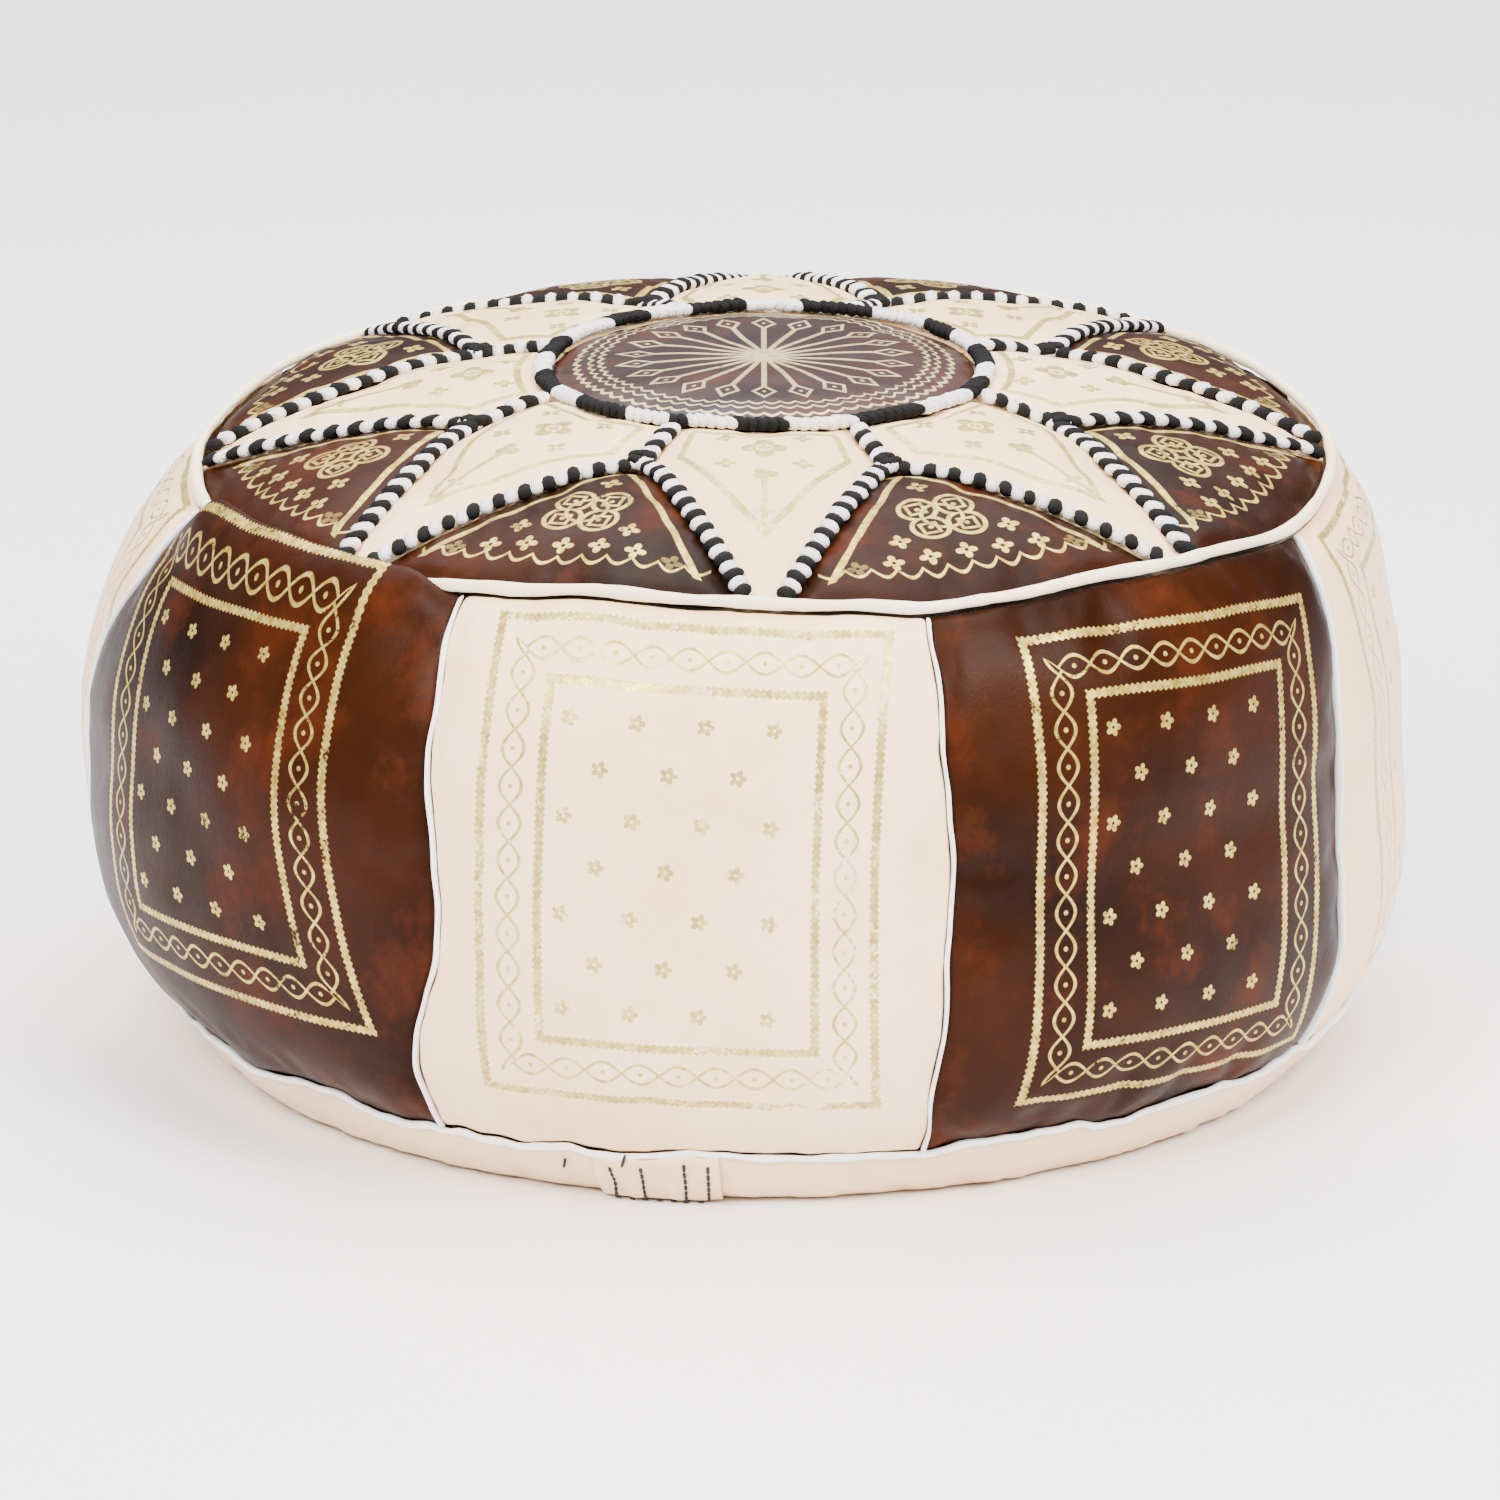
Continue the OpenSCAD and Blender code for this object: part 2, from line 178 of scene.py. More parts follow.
def add(tree, kind, *inputs, out=0, **settings):
    """Adds a node: its settings, its first sockets' values or links, and the output wanted."""
    node = tree.nodes.new("ShaderNode" + kind)
    for key, value in settings.items():
        setattr(node, key, value)
    for socket, value in zip(node.inputs, inputs):
        if isinstance(value, bpy.types.NodeSocket):
            tree.links.new(value, socket)
        elif value is not None:
            socket.default_value = value
    return node.outputs[out]


def shader(name):
    """A new material: the material, its tree and its Principled shader."""
    material = bpy.data.materials.new(name)
    material.use_nodes = True
    tree = material.node_tree
    tree.nodes.clear()
    surface = tree.nodes.new("ShaderNodeBsdfPrincipled")
    output = tree.nodes.new("ShaderNodeOutputMaterial")
    tree.links.new(surface.outputs[0], output.inputs[0])
    return material, tree, surface


def feed(tree, node, **sockets):
    """Sets or links a node's sockets by name, with _ for a space."""
    for key, value in sockets.items():
        socket = node.inputs[key.replace("_", " ")]
        if isinstance(value, bpy.types.NodeSocket):
            tree.links.new(value, socket)
        else:
            socket.default_value = value


# The float and vector sockets that a Mix node has between its factor and its two colours
NOT_COLOUR = (None,) * 5


# Marks of the gold stamps, in mm on the hide -----------------------------------------------------

SOFT_MM = 0.22


def inside(tree, distance, edge=0.0):
    """1 where a distance is below an edge, fading over twice the softness."""
    return add(tree, "MapRange", distance, edge - SOFT_MM, edge + SOFT_MM, 1.0, 0.0)


def beyond(tree, distance, edge):
    """1 where a distance is above an edge."""
    return add(tree, "MapRange", distance, edge - SOFT_MM, edge + SOFT_MM, 0.0, 1.0)


def line(tree, distance, thick, middle=0.0):
    """1 within half a line's thickness of its middle."""
    away = add(tree, "Math", distance, middle, operation="SUBTRACT")
    return inside(tree, add(tree, "Math", away, operation="ABSOLUTE"), thick / 2)


def either(tree, *marks):
    total = marks[0]
    for mark in marks[1:]:
        total = add(tree, "Math", total, mark, operation="MAXIMUM")
    return total


def both(tree, *marks):
    total = marks[0]
    for mark in marks[1:]:
        total = add(tree, "Math", total, mark, operation="MULTIPLY")
    return total


def reach(tree, x, y):
    """How far the point (x, y) is from (0, 0)."""
    x2 = add(tree, "Math", x, x, operation="MULTIPLY")
    return add(tree, "Math", add(tree, "Math", y, y, x2, operation="MULTIPLY_ADD"), 0.5, operation="POWER")


def tile(tree, value, pitch):
    """Where a value lies in its own cell of a row, from minus to plus half a pitch."""
    turns = add(tree, "Math", value, 1 / pitch, 0.5, operation="MULTIPLY_ADD")
    part = add(tree, "Math", turns, operation="FRACT")
    return add(tree, "Math", part, pitch, -pitch / 2, operation="MULTIPLY_ADD")


def rosette(tree, x, y, petals, middle, swing, hole):
    """A small stamped flower with a bare dot in its middle."""
    r = reach(tree, x, y)
    angle = add(tree, "Math", y, x, operation="ARCTAN2")
    lobe = add(tree, "Math", add(tree, "Math", angle, petals / 2, operation="MULTIPLY"), operation="COSINE")
    size = add(tree, "Math", lobe, operation="ABSOLUTE")
    edge = add(tree, "Math", size, swing, middle, operation="MULTIPLY_ADD")
    body = inside(tree, add(tree, "Math", r, edge, operation="SUBTRACT"))
    return both(tree, body, beyond(tree, r, hole))


def scatter(tree, u, v, pitch_u, pitch_v):
    """Staggered rows of cells: the place in a cell, and the middle of that cell."""
    row = add(tree, "Math", add(tree, "Math", v, 1 / pitch_v, 0.5, operation="MULTIPLY_ADD"),
              operation="FLOOR")
    shifted = add(tree, "Math", row, pitch_u / 2, u, operation="MULTIPLY_ADD")
    x = tile(tree, shifted, pitch_u)
    y = tile(tree, v, pitch_v)
    mid_u = add(tree, "Math", u, x, operation="SUBTRACT")
    mid_v = add(tree, "Math", v, y, operation="SUBTRACT")
    return x, y, mid_u, mid_v


def hide_place(tree):
    """The two coordinates of the flat hide, in mm."""
    uv = add(tree, "UVMap", uv_map="hide_mm")
    return add(tree, "SeparateXYZ", uv, out=0), add(tree, "SeparateXYZ", uv, out=1)


def frame_path(tree, u, v, half_w, half_h):
    """Distance out from a rectangle, and the length along its side."""
    out_u = add(tree, "Math", add(tree, "Math", u, operation="ABSOLUTE"), half_w, operation="SUBTRACT")
    out_v = add(tree, "Math", add(tree, "Math", v, operation="ABSOLUTE"), half_h, operation="SUBTRACT")
    upright = add(tree, "Math", out_u, out_v, operation="GREATER_THAN")
    switch = add(tree, "Math", v, u, operation="SUBTRACT")
    along = add(tree, "Math", upright, switch, u, operation="MULTIPLY_ADD")
    return add(tree, "Math", out_u, out_v, operation="MAXIMUM"), along


# Half width, half height and thickness of a side panel's two frames, and the bite of their edges
PANEL_FRAMES = ((80, 99, 3.6), (55, 73, 3.4))
ROULETTE_PITCH = 2.8
ROULETTE_BITE = 0.4

# The chain of ovals between the frames
CHAIN_HALF_W = 67.5
CHAIN_HALF_H = 85.5
OVAL_LENGTH = 15
OVAL_BOW = 4.6

# The flowers: their pitch across and up, and the half sizes of the field that they fill
FLOWER_PITCH = (27, 19.5)
FLOWER_FIELD = (51, 66)


def panel_stamp(tree, u, v):
    """Two roulette-edged frames, a chain of ovals between them, and a field of flowers."""
    marks = []
    for half_w, half_h, thick in PANEL_FRAMES:
        away, along = frame_path(tree, u, v, half_w, half_h)
        turns = add(tree, "Math", along, 2 * math.pi / ROULETTE_PITCH, operation="MULTIPLY")
        teeth = add(tree, "Math", turns, operation="SINE")
        size = add(tree, "Math", away, operation="ABSOLUTE")
        bitten = add(tree, "Math", teeth, ROULETTE_BITE, size, operation="MULTIPLY_ADD")
        marks.append(line(tree, bitten, thick))
    away, along = frame_path(tree, u, v, CHAIN_HALF_W, CHAIN_HALF_H)
    x = tile(tree, along, OVAL_LENGTH)
    size = add(tree, "Math", away, operation="ABSOLUTE")
    bow = add(tree, "Math", add(tree, "Math", x, math.pi / OVAL_LENGTH, operation="MULTIPLY"),
              operation="COSINE")
    marks.append(line(tree, add(tree, "Math", bow, -OVAL_BOW, size, operation="MULTIPLY_ADD"), 1.5))
    marks.append(inside(tree, reach(tree, x, away), 1.0))
    x, y, mid_u, mid_v = scatter(tree, add(tree, "Math", u, 5.0, operation="ADD"), v, *FLOWER_PITCH)
    flower = rosette(tree, x, y, 5, 1.9, 1.7, 0.7)
    room_u = inside(tree, add(tree, "Math", mid_u, operation="ABSOLUTE"), FLOWER_FIELD[0])
    room_v = inside(tree, add(tree, "Math", mid_v, operation="ABSOLUTE"), FLOWER_FIELD[1])
    marks.append(both(tree, flower, room_u, room_v))
    return either(tree, *marks)


# Places on a gore, in mm from the middle of the top: where its V crosses and ends, the slope of
# the V's legs, the foot of the scallops, and the middle of the knot
V_CROSS_R = 148
V_START = 143.0
V_END = 220
V_SLOPE = (0.761, 0.648)
SCALLOP_R = 221.5
SCALLOP_STEPS = 225 * math.pi / 11
KNOT_R = 190


def gore_stamp(tree, u, v):
    """A crossed V, a scalloped line, an interlaced knot with four squares, and crosslets."""
    marks = []
    run = inside(tree, v, V_END)
    start = beyond(tree, v, V_START)
    for side in (-1, 1):
        slope = add(tree, "Math", u, side * V_SLOPE[0], V_CROSS_R * V_SLOPE[1], operation="MULTIPLY_ADD")
        away = add(tree, "Math", v, -V_SLOPE[1], slope, operation="MULTIPLY_ADD")
        marks.append(both(tree, line(tree, away, 3.0), run, start))
    r = reach(tree, u, v)
    angle = add(tree, "Math", u, v, operation="ARCTAN2")
    wave = add(tree, "Math", add(tree, "Math", angle, SCALLOP_STEPS, operation="MULTIPLY"), operation="SINE")
    bow = add(tree, "Math", wave, operation="ABSOLUTE")
    edge = add(tree, "Math", bow, 4.5, SCALLOP_R, operation="MULTIPLY_ADD")
    turn = add(tree, "Math", angle, operation="ABSOLUTE")
    span = inside(tree, add(tree, "Math", turn, 225, -66.0, operation="MULTIPLY_ADD"))
    marks.append(both(tree, line(tree, add(tree, "Math", r, edge, operation="SUBTRACT"), 1.8), span))
    y = add(tree, "Math", v, KNOT_R, operation="SUBTRACT")
    fold_x = add(tree, "Math", u, operation="ABSOLUTE")
    fold_y = add(tree, "Math", y, operation="ABSOLUTE")
    lobe = reach(tree, add(tree, "Math", fold_x, 8.0, operation="SUBTRACT"),
                 add(tree, "Math", fold_y, 7.0, operation="SUBTRACT"))
    marks.append(line(tree, lobe, 2.0, 7.6))
    marks.append(line(tree, reach(tree, u, y), 1.6, 8.5))
    box_x = add(tree, "Math", add(tree, "Math", fold_x, 8.5, operation="SUBTRACT"), operation="ABSOLUTE")
    box_y = add(tree, "Math", add(tree, "Math", fold_y, 7.5, operation="SUBTRACT"), operation="ABSOLUTE")
    marks.append(line(tree, add(tree, "Math", box_x, box_y, operation="MAXIMUM"), 1.4, 3.4))
    marks.append(inside(tree, lobe, 1.1))
    x, y, mid_u, mid_v = scatter(tree, u, y, 16, 12.5)
    cross = rosette(tree, x, y, 4, 1.7, 3.0, 0.9)
    clear = beyond(tree, reach(tree, mid_u, mid_v), 20.0)
    slope = add(tree, "Math", add(tree, "Math", mid_u, operation="ABSOLUTE"), V_SLOPE[0],
                7 - (KNOT_R - V_CROSS_R) * V_SLOPE[1], operation="MULTIPLY_ADD")
    within = inside(tree, add(tree, "Math", mid_v, -V_SLOPE[1], slope, operation="MULTIPLY_ADD"))
    low = inside(tree, mid_v, 26)
    marks.append(both(tree, cross, clear, within, low))
    return either(tree, *marks)


# Places on a kite, in mm from the middle of the top: its head line, the middle of its knot, its
# foot, and the slopes of its two pairs of sides
KITE_HEAD_R = 106
KITE_KNOT_R = 125
KITE_FOOT_R = 200
KITE_SHORT = (0.973, 0.233)
KITE_LONG = (0.897, 0.442)


def kite_stamp(tree, u, v):
    """A kite outline with a stemmed bud, a small knot and crosslets."""
    fold = add(tree, "Math", u, operation="ABSOLUTE")
    short = both(tree, inside(tree, v, 127), beyond(tree, v, 102.5))
    head = line(tree, reach(tree, u, v), 3.0, KITE_HEAD_R)
    marks = [both(tree, head, inside(tree, fold, 30))]
    slope = add(tree, "Math", fold, KITE_SHORT[0], 103 * KITE_SHORT[1] - 29.5 * KITE_SHORT[0],
                operation="MULTIPLY_ADD")
    away = add(tree, "Math", v, -KITE_SHORT[1], slope, operation="MULTIPLY_ADD")
    marks.append(both(tree, line(tree, away, 3.0), short))
    slope = add(tree, "Math", fold, KITE_LONG[0], -126 * KITE_LONG[1] - 35 * KITE_LONG[0],
                operation="MULTIPLY_ADD")
    away = add(tree, "Math", v, KITE_LONG[1], slope, operation="MULTIPLY_ADD")
    tail = both(tree, inside(tree, v, KITE_FOOT_R), beyond(tree, v, KITE_KNOT_R))
    marks.append(both(tree, line(tree, away, 3.0), tail))
    stem = both(tree, inside(tree, v, 198), beyond(tree, v, 154.0))
    marks.append(both(tree, line(tree, u, 2.6), stem))
    marks.append(rosette(tree, u, add(tree, "Math", v, 151, operation="SUBTRACT"), 3, 3.0, 2.6, 1.0))
    y = add(tree, "Math", v, KITE_KNOT_R, operation="SUBTRACT")
    marks.append(rosette(tree, u, y, 4, 5.0, 4.6, 3.6))
    marks.append(rosette(tree, u, y, 4, 1.2, 1.6, 0.5))
    x, y, mid_u, mid_v = scatter(tree, u, y, 32, 14)
    cross = rosette(tree, x, y, 4, 1.7, 3.0, 0.8)
    clear = beyond(tree, reach(tree, mid_u, mid_v), 12.0)
    slope = add(tree, "Math", add(tree, "Math", mid_u, operation="ABSOLUTE"), KITE_LONG[0],
                6 - 35 * KITE_LONG[0], operation="MULTIPLY_ADD")
    within = inside(tree, add(tree, "Math", mid_v, KITE_LONG[1], slope, operation="MULTIPLY_ADD"))
    low = beyond(tree, mid_v, -16.0)
    marks.append(both(tree, cross, clear, within, low))
    return either(tree, *marks)


# The medallion's rays, and its rings: foot, number of half waves and thickness of each line
RAYS = 22
RAY_END = 47
DIAMOND_R = 55
HUB_R = 7
MEDALLION_RINGS = ((68.5, 66, 1.4), (73, 66, 1.2), (79, 72, 1.8))


def medallion_stamp(tree, u, v):
    """Rays with open diamond heads round a small hub, inside three scalloped rings."""
    r = reach(tree, u, v)
    angle = add(tree, "Math", u, v, operation="ARCTAN2")
    part = tile(tree, angle, 2 * math.pi / RAYS)
    across = add(tree, "Math", part, r, operation="MULTIPLY")
    ray = both(tree, line(tree, across, 2.2), inside(tree, r, RAY_END))
    fold = add(tree, "Math", across, 1.7, operation="MULTIPLY")
    size = add(tree, "Math", fold, operation="ABSOLUTE")
    run = add(tree, "Math", add(tree, "Math", r, DIAMOND_R, operation="SUBTRACT"), operation="ABSOLUTE")
    diamond = add(tree, "Math", size, run, operation="ADD")
    marks = [ray, line(tree, diamond, 3.0, 8.0), inside(tree, r, HUB_R), inside(tree, diamond, 1.6)]
    for middle, count, thick in MEDALLION_RINGS:
        swing = add(tree, "Math", add(tree, "Math", angle, count / 2, operation="MULTIPLY"),
                    operation="SINE")
        bow = add(tree, "Math", swing, operation="ABSOLUTE")
        edge = add(tree, "Math", bow, 2.2, middle, operation="MULTIPLY_ADD")
        marks.append(line(tree, add(tree, "Math", r, edge, operation="SUBTRACT"), thick))
    return either(tree, *marks)


# Finishes ----------------------------------------------------------------------------------------


# Grain of the goatskin: cells of about 1.4 mm, drawn coarser than the real grain so that they show
PEBBLE_PER_M = 700.0
CREASES_PER_M = 160.0
GRAIN_DEPTH = 0.3 * MM


def goatskin(name, stamp, deep, warm, pale, gold, worn, rough, shine=0.5):
    """Vegetable-tanned goatskin, dyed by hand and stamped with gold foil: the dye lies in
    uneven clouds, the grain is a fine pebble, and the foil is thin and broken. gold holds the
    foil's two colours, its roughness and how metallic it looks, and worn is how much is gone."""
    material, tree, surface = shader(name)
    place = add(tree, "TexCoord", out=3)
    clouds = add(tree, "TexNoise", place, None, 9.0, 4.0, 0.6)
    patches = add(tree, "TexNoise", place, None, 23.0, 5.0, 0.65)
    dye = add(tree, "Mix", add(tree, "MapRange", clouds, 0.36, 0.64, 0.0, 1.0), *NOT_COLOUR,
              hex_colour(deep), hex_colour(warm), out=2, data_type="RGBA")
    dye = add(tree, "Mix", add(tree, "MapRange", patches, 0.52, 0.74, 0.0, 0.75), *NOT_COLOUR,
              dye, hex_colour(pale), out=2, data_type="RGBA")
    pebble = add(tree, "TexVoronoi", place, None, PEBBLE_PER_M)
    creases = add(tree, "TexNoise", place, None, CREASES_PER_M, 4.0, 0.6)
    height = add(tree, "Math", pebble, 0.5, add(tree, "Math", creases, 1.2, operation="MULTIPLY"),
                 operation="MULTIPLY_ADD")
    sheen = add(tree, "MapRange", patches, 0.3, 0.7, rough - 0.06, rough + 0.1)
    colour = dye
    if stamp:
        u, v = hide_place(tree)
        mark = stamp(tree, u, v)
        flake = add(tree, "TexNoise", place, None, 420.0, 3.0, 0.7)
        thin = add(tree, "TexNoise", place, None, 38.0, 3.0, 0.6)
        hold = add(tree, "Math", thin, 0.9, flake, operation="MULTIPLY_ADD")
        foil = both(tree, mark, add(tree, "MapRange", hold, worn, worn + 0.14, 0.0, 1.0))
        tint = add(tree, "TexNoise", place, None, 300.0, 2.0, 0.5)
        metal = add(tree, "Mix", add(tree, "MapRange", tint, 0.35, 0.65, 0.0, 1.0), *NOT_COLOUR,
                    hex_colour(gold[0]), hex_colour(gold[1]), out=2, data_type="RGBA")
        colour = add(tree, "Mix", foil, *NOT_COLOUR, dye, metal, out=2, data_type="RGBA")
        sheen = add(tree, "MapRange", foil, 0.0, 1.0, sheen, gold[2])
        feed(tree, surface, Metallic=add(tree, "Math", foil, gold[3], operation="MULTIPLY"))
        height = add(tree, "Math", mark, -1.5, height, operation="MULTIPLY_ADD")
    bump = add(tree, "Bump")
    feed(tree, bump.node, Distance=GRAIN_DEPTH, Strength=0.35, Height=height)
    feed(tree, surface, Base_Color=colour, Roughness=sheen, Normal=bump, IOR=1.47,
         Specular_IOR_Level=shine)
    return material


def cotton(name, light, dark, strand_mm, rough=0.85):
    """Spun cotton thread or cloth: soft and matt, with fine strands."""
    material, tree, surface = shader(name)
    place = add(tree, "TexCoord", out=3)
    fuzz = add(tree, "TexNoise", place, None, 1000 / strand_mm, 3.0, 0.6)
    colour = add(tree, "Mix", fuzz, *NOT_COLOUR, hex_colour(dark), hex_colour(light), out=2,
                 data_type="RGBA")
    bump = add(tree, "Bump")
    feed(tree, bump.node, Distance=0.4 * MM, Strength=0.6, Height=fuzz)
    feed(tree, surface, Base_Color=colour, Roughness=rough, Normal=bump, IOR=1.5)
    return material


def laced_thread(name, light, dark):
    """Bundled cotton thread pulled tight over a seam: strands run along each stitch, with painted shade in
    the grooves between them.
    """
    material, tree, surface = shader(name)
    uv = add(tree, "UVMap", uv_map="thread")
    across = add(tree, "SeparateXYZ", uv, out=1)
    place = add(tree, "TexCoord", out=3)
    stray = add(tree, "TexNoise", place, None, 600.0, 3.0, 0.6)
    bent = add(tree, "Math", stray, 0.35, across, operation="MULTIPLY_ADD")
    strands = add(tree, "Math", add(tree, "Math", bent, 22.0, operation="MULTIPLY"), operation="SINE")
    strand_height_and_groove_shade = add(tree, "MapRange", strands, -1.0, 1.0, 0.0, 1.0)
    # Painted shade: the strand height also darkens the colour in the grooves between strands
    colour = add(tree, "Mix", strand_height_and_groove_shade, *NOT_COLOUR, hex_colour(dark), hex_colour(light), out=2,
                 data_type="RGBA")
    bump = add(tree, "Bump")
    feed(tree, bump.node, Distance=0.5 * MM, Strength=0.6, Height=strand_height_and_groove_shade)
    feed(tree, surface, Base_Color=colour, Roughness=0.8, Normal=bump, IOR=1.5, Specular_IOR_Level=0.2)
    return material


def brass(name):
    """Tumbled brass of a dress zip: bright yellow, with fine rub marks."""
    material, tree, surface = shader(name)
    place = add(tree, "TexCoord", out=3)
    rubs = add(tree, "TexNoise", place, None, 900.0, 4.0, 0.6)
    dull = add(tree, "TexNoise", place, None, 60.0, 3.0, 0.6)
    colour = add(tree, "Mix", dull, *NOT_COLOUR, hex_colour("#b98d3e"), hex_colour("#dcb562"), out=2,
                 data_type="RGBA")
    feed(tree, surface, Metallic=1.0, Base_Color=colour,
         Roughness=add(tree, "MapRange", rubs, 0.3, 0.7, 0.22, 0.42))
    return material


# Dyes: the deep, the warm and the pale cloud of each. Golds: two colours, roughness and metallic
BROWN = ("#150600", "#2d1102", "#4a1d05")
CREAM = ("#f6d2a4", "#fcdeb4", "#f4c794")
STRONG_GOLD = ("#c8b268", "#9c8538", 0.36, 0.5)
PALE_GOLD = ("#a8954a", "#cdbb72", 0.34, 0.4)

brown_side = goatskin("brown_goatskin_panel", panel_stamp, *BROWN, STRONG_GOLD, 0.7, 0.4, 0.08)
cream_side = goatskin("cream_goatskin_panel", panel_stamp, *CREAM, PALE_GOLD, 0.74, 0.5)
brown_gore = goatskin("brown_goatskin_gore", gore_stamp, *BROWN, STRONG_GOLD, 0.66, 0.45, 0.08)
cream_kite = goatskin("cream_goatskin_kite", kite_stamp, "#e9c692", "#f2d2a4", "#e6bb82", PALE_GOLD, 0.64,
                      0.5)
brown_medallion = goatskin("brown_goatskin_medallion", medallion_stamp, "#170803", "#2f1203", "#4c1c05",
                           ("#cdbf92", "#b3a26c", 0.36, 0.5), 0.62, 0.38, 0.3)
cream_plain = goatskin("cream_goatskin_plain", None, *CREAM, None, 0, 0.5)
welt_leather = goatskin("white_welt_leather", None, "#f2f0f2", "#f8f7f8", "#ece6e0", None, 0, 0.55)
piping_leather = goatskin("cream_piping_leather", None, "#f2dfc0", "#f6e6cc", "#e0c793", None, 0, 0.45)
# Each thread's second colour is the painted shade in the grooves between its strands
white_thread = laced_thread("white_cotton_lacing", "#f4f3f4", "#c9c6c8")
black_thread = laced_thread("black_cotton_lacing", "#0b0a0c", "#010101")
basting_thread = cotton("black_basting_thread", "#2b2a30", "#0c0c0e", 0.5)
bag_cotton = cotton("bag_calico", "#efe7d6", "#d9cfba", 0.8)
wadding = cotton("cotton_wadding", "#efe9dc", "#cfc6b4", 6.0, 0.95)
tape_cotton = cotton("zip_tape_twill", "#c2ab83", "#9b855f", 0.7)
zip_brass = brass("zip_brass")


# Pieces ------------------------------------------------------------------------------------------


def finish_piece(obj, body, slot, nodes, *materials):
    """Gives a piece its materials and the body that it rides on, and hides the nodes it replaces; slot is not
    used.
    """
    for material in materials:
        obj.data.materials.append(material)
    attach(obj, body)
    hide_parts(*nodes)
    return obj


def as_object(name, bm, smooth_faces=True):
    mesh = bpy.data.meshes.new(name)
    bm.to_mesh(mesh)
    bm.free()
    obj = bpy.data.objects.new(name, mesh)
    bpy.context.scene.collection.objects.link(obj)
    if smooth_faces:
        mesh.polygons.foreach_set("use_smooth", [True] * len(mesh.polygons))
    return obj


def border_distances(bm):
    """How far each vertex is from the nearest one of the piece's border."""
    edge = [vert for vert in bm.verts if vert.is_boundary]
    tree = kdtree.KDTree(len(edge))
    for i, vert in enumerate(edge):
        tree.insert(vert.co, i)
    tree.balance()
    return {vert: tree.find(vert.co)[2] for vert in bm.verts}


def skin(name, across, along, place, hide, sink, roll):
    """A leather piece cut as a grid. place(s, t) is its point on the drum, with s to the right
    and t up as seen from outside, and hide(s, t) is its place on the flat hide in mm. Its border
    rolls down by sink over the distance roll, into the seams."""
    bm = bmesh.new()
    bmesh.ops.create_grid(bm, x_segments=across, y_segments=along, size=0.5)
    layer = bm.loops.layers.uv.new("hide_mm")
    spots = {}
    for vert in bm.verts:
        s, t = vert.co.x + 0.5, vert.co.y + 0.5
        spots[vert] = hide(s, t)
        vert.co = place(s, t)
    for face in bm.faces:
        for loop in face.loops:
            loop[layer].uv = spots[loop.vert]
    bmesh.ops.remove_doubles(bm, verts=bm.verts, dist=0.4 * MM)
    bm.normal_update()
    for vert, near in border_distances(bm).items():
        vert.co -= vert.normal * sink * (1 - smooth(near / roll))
    held = [vert.index for vert in bm.verts if vert.is_boundary]
    obj = as_object(name, bm)
    group = obj.vertex_groups.new(name="seam")
    group.add(held, 1.0, "REPLACE")
    return obj


STUFFING_FRAMES = 20
STUFFING_PRESSURE = 4


def stuff(pieces, swell, slack):
    """Blows each piece out from its seams, as the filling does, by no more than swell."""
    scene = bpy.context.scene
    for piece in pieces:
        modifier = piece.modifiers.new("filling", "CLOTH")
        cloth = modifier.settings
        cloth.quality = 4
        cloth.mass = 0.3
        cloth.tension_stiffness = 25
        cloth.compression_stiffness = 25
        cloth.shear_stiffness = 8
        cloth.bending_stiffness = 1.5
        cloth.use_pressure = True
        cloth.uniform_pressure_force = STUFFING_PRESSURE
        cloth.effector_weights.gravity = 0
        cloth.vertex_group_mass = "seam"
        cloth.shrink_min = -slack
        modifier.point_cache.frame_start = 1
        modifier.point_cache.frame_end = STUFFING_FRAMES
    for step in range(1, STUFFING_FRAMES + 1):
        scene.frame_set(step)
    depsgraph = bpy.context.evaluated_depsgraph_get()
    for piece in pieces:
        blown = piece.evaluated_get(depsgraph).data
        for vert, new in zip(piece.data.vertices, blown.vertices):
            move = new.co - vert.co
            if move.length > 1e-7:
                vert.co += move.normalized() * swell * math.tanh(move.length / swell)
    for piece in pieces:
        piece.modifiers.clear()
    scene.frame_set(1)


def wrinkle(obj, height, size):
    """Fine puckers where the leather is gathered into its seams."""
    bm = bmesh.new()
    bm.from_mesh(obj.data)
    bm.normal_update()
    for vert, near in border_distances(bm).items():
        fade = math.exp(-near / (2.2 * size))
        pucker = noise.noise(vert.co / size) * height * fade
        dimple = noise.noise(vert.co / (4.5 * size)) * height * 0.8
        vert.co += vert.normal * (pucker + dimple)
    for vert in bm.verts:
        vert.co = settle(vert.co)
    bm.to_mesh(obj.data)
    bm.free()


def thicken(obj, thick):
    """Gives a skin the leather's thickness, inwards, and rounds its cut edge."""
    wall = obj.modifiers.new("thickness", "SOLIDIFY")
    wall.thickness = thick
    wall.offset = -1
    round_off = obj.modifiers.new("rounding", "SUBSURF")
    round_off.levels = 1
    round_off.render_levels = 1


# How far each side seam strays at its top, middle and bottom, in degrees
SEAM_BOW = [(1.5, -5.0, -4.0), (0.0, 3.2, -1.0), (-0.5, 0.5, -1.6), (0.5, -1.5, -4.0),
            (0.5, -0.8, 0.6), (-0.8, 0.6, 0.8), (0.6, -1.0, 0.5), (0.4, 0.8, -0.6)]


def seam_at(i, drop):
    """Where seam i runs, in degrees, at a length below the rim: hand-sewn, so it wanders."""
    top, middle, low = SEAM_BOW[i % STAR_POINTS]
    share = drop / SIDE_LENGTH
    bow = top + (middle - top) * smooth(2 * share) + (low - middle) * smooth(2 * share - 1)
    seam = SEAM_DEG[i % STAR_POINTS]
    wander = noise.noise(Vector((seam, drop * 17, 3.1))) * 6 + noise.noise(Vector((seam, drop * 52, 7.7))) * 2
    return seam + 360 * (i // STAR_POINTS) + bow + math.degrees(wander * MM / DRUM_R)


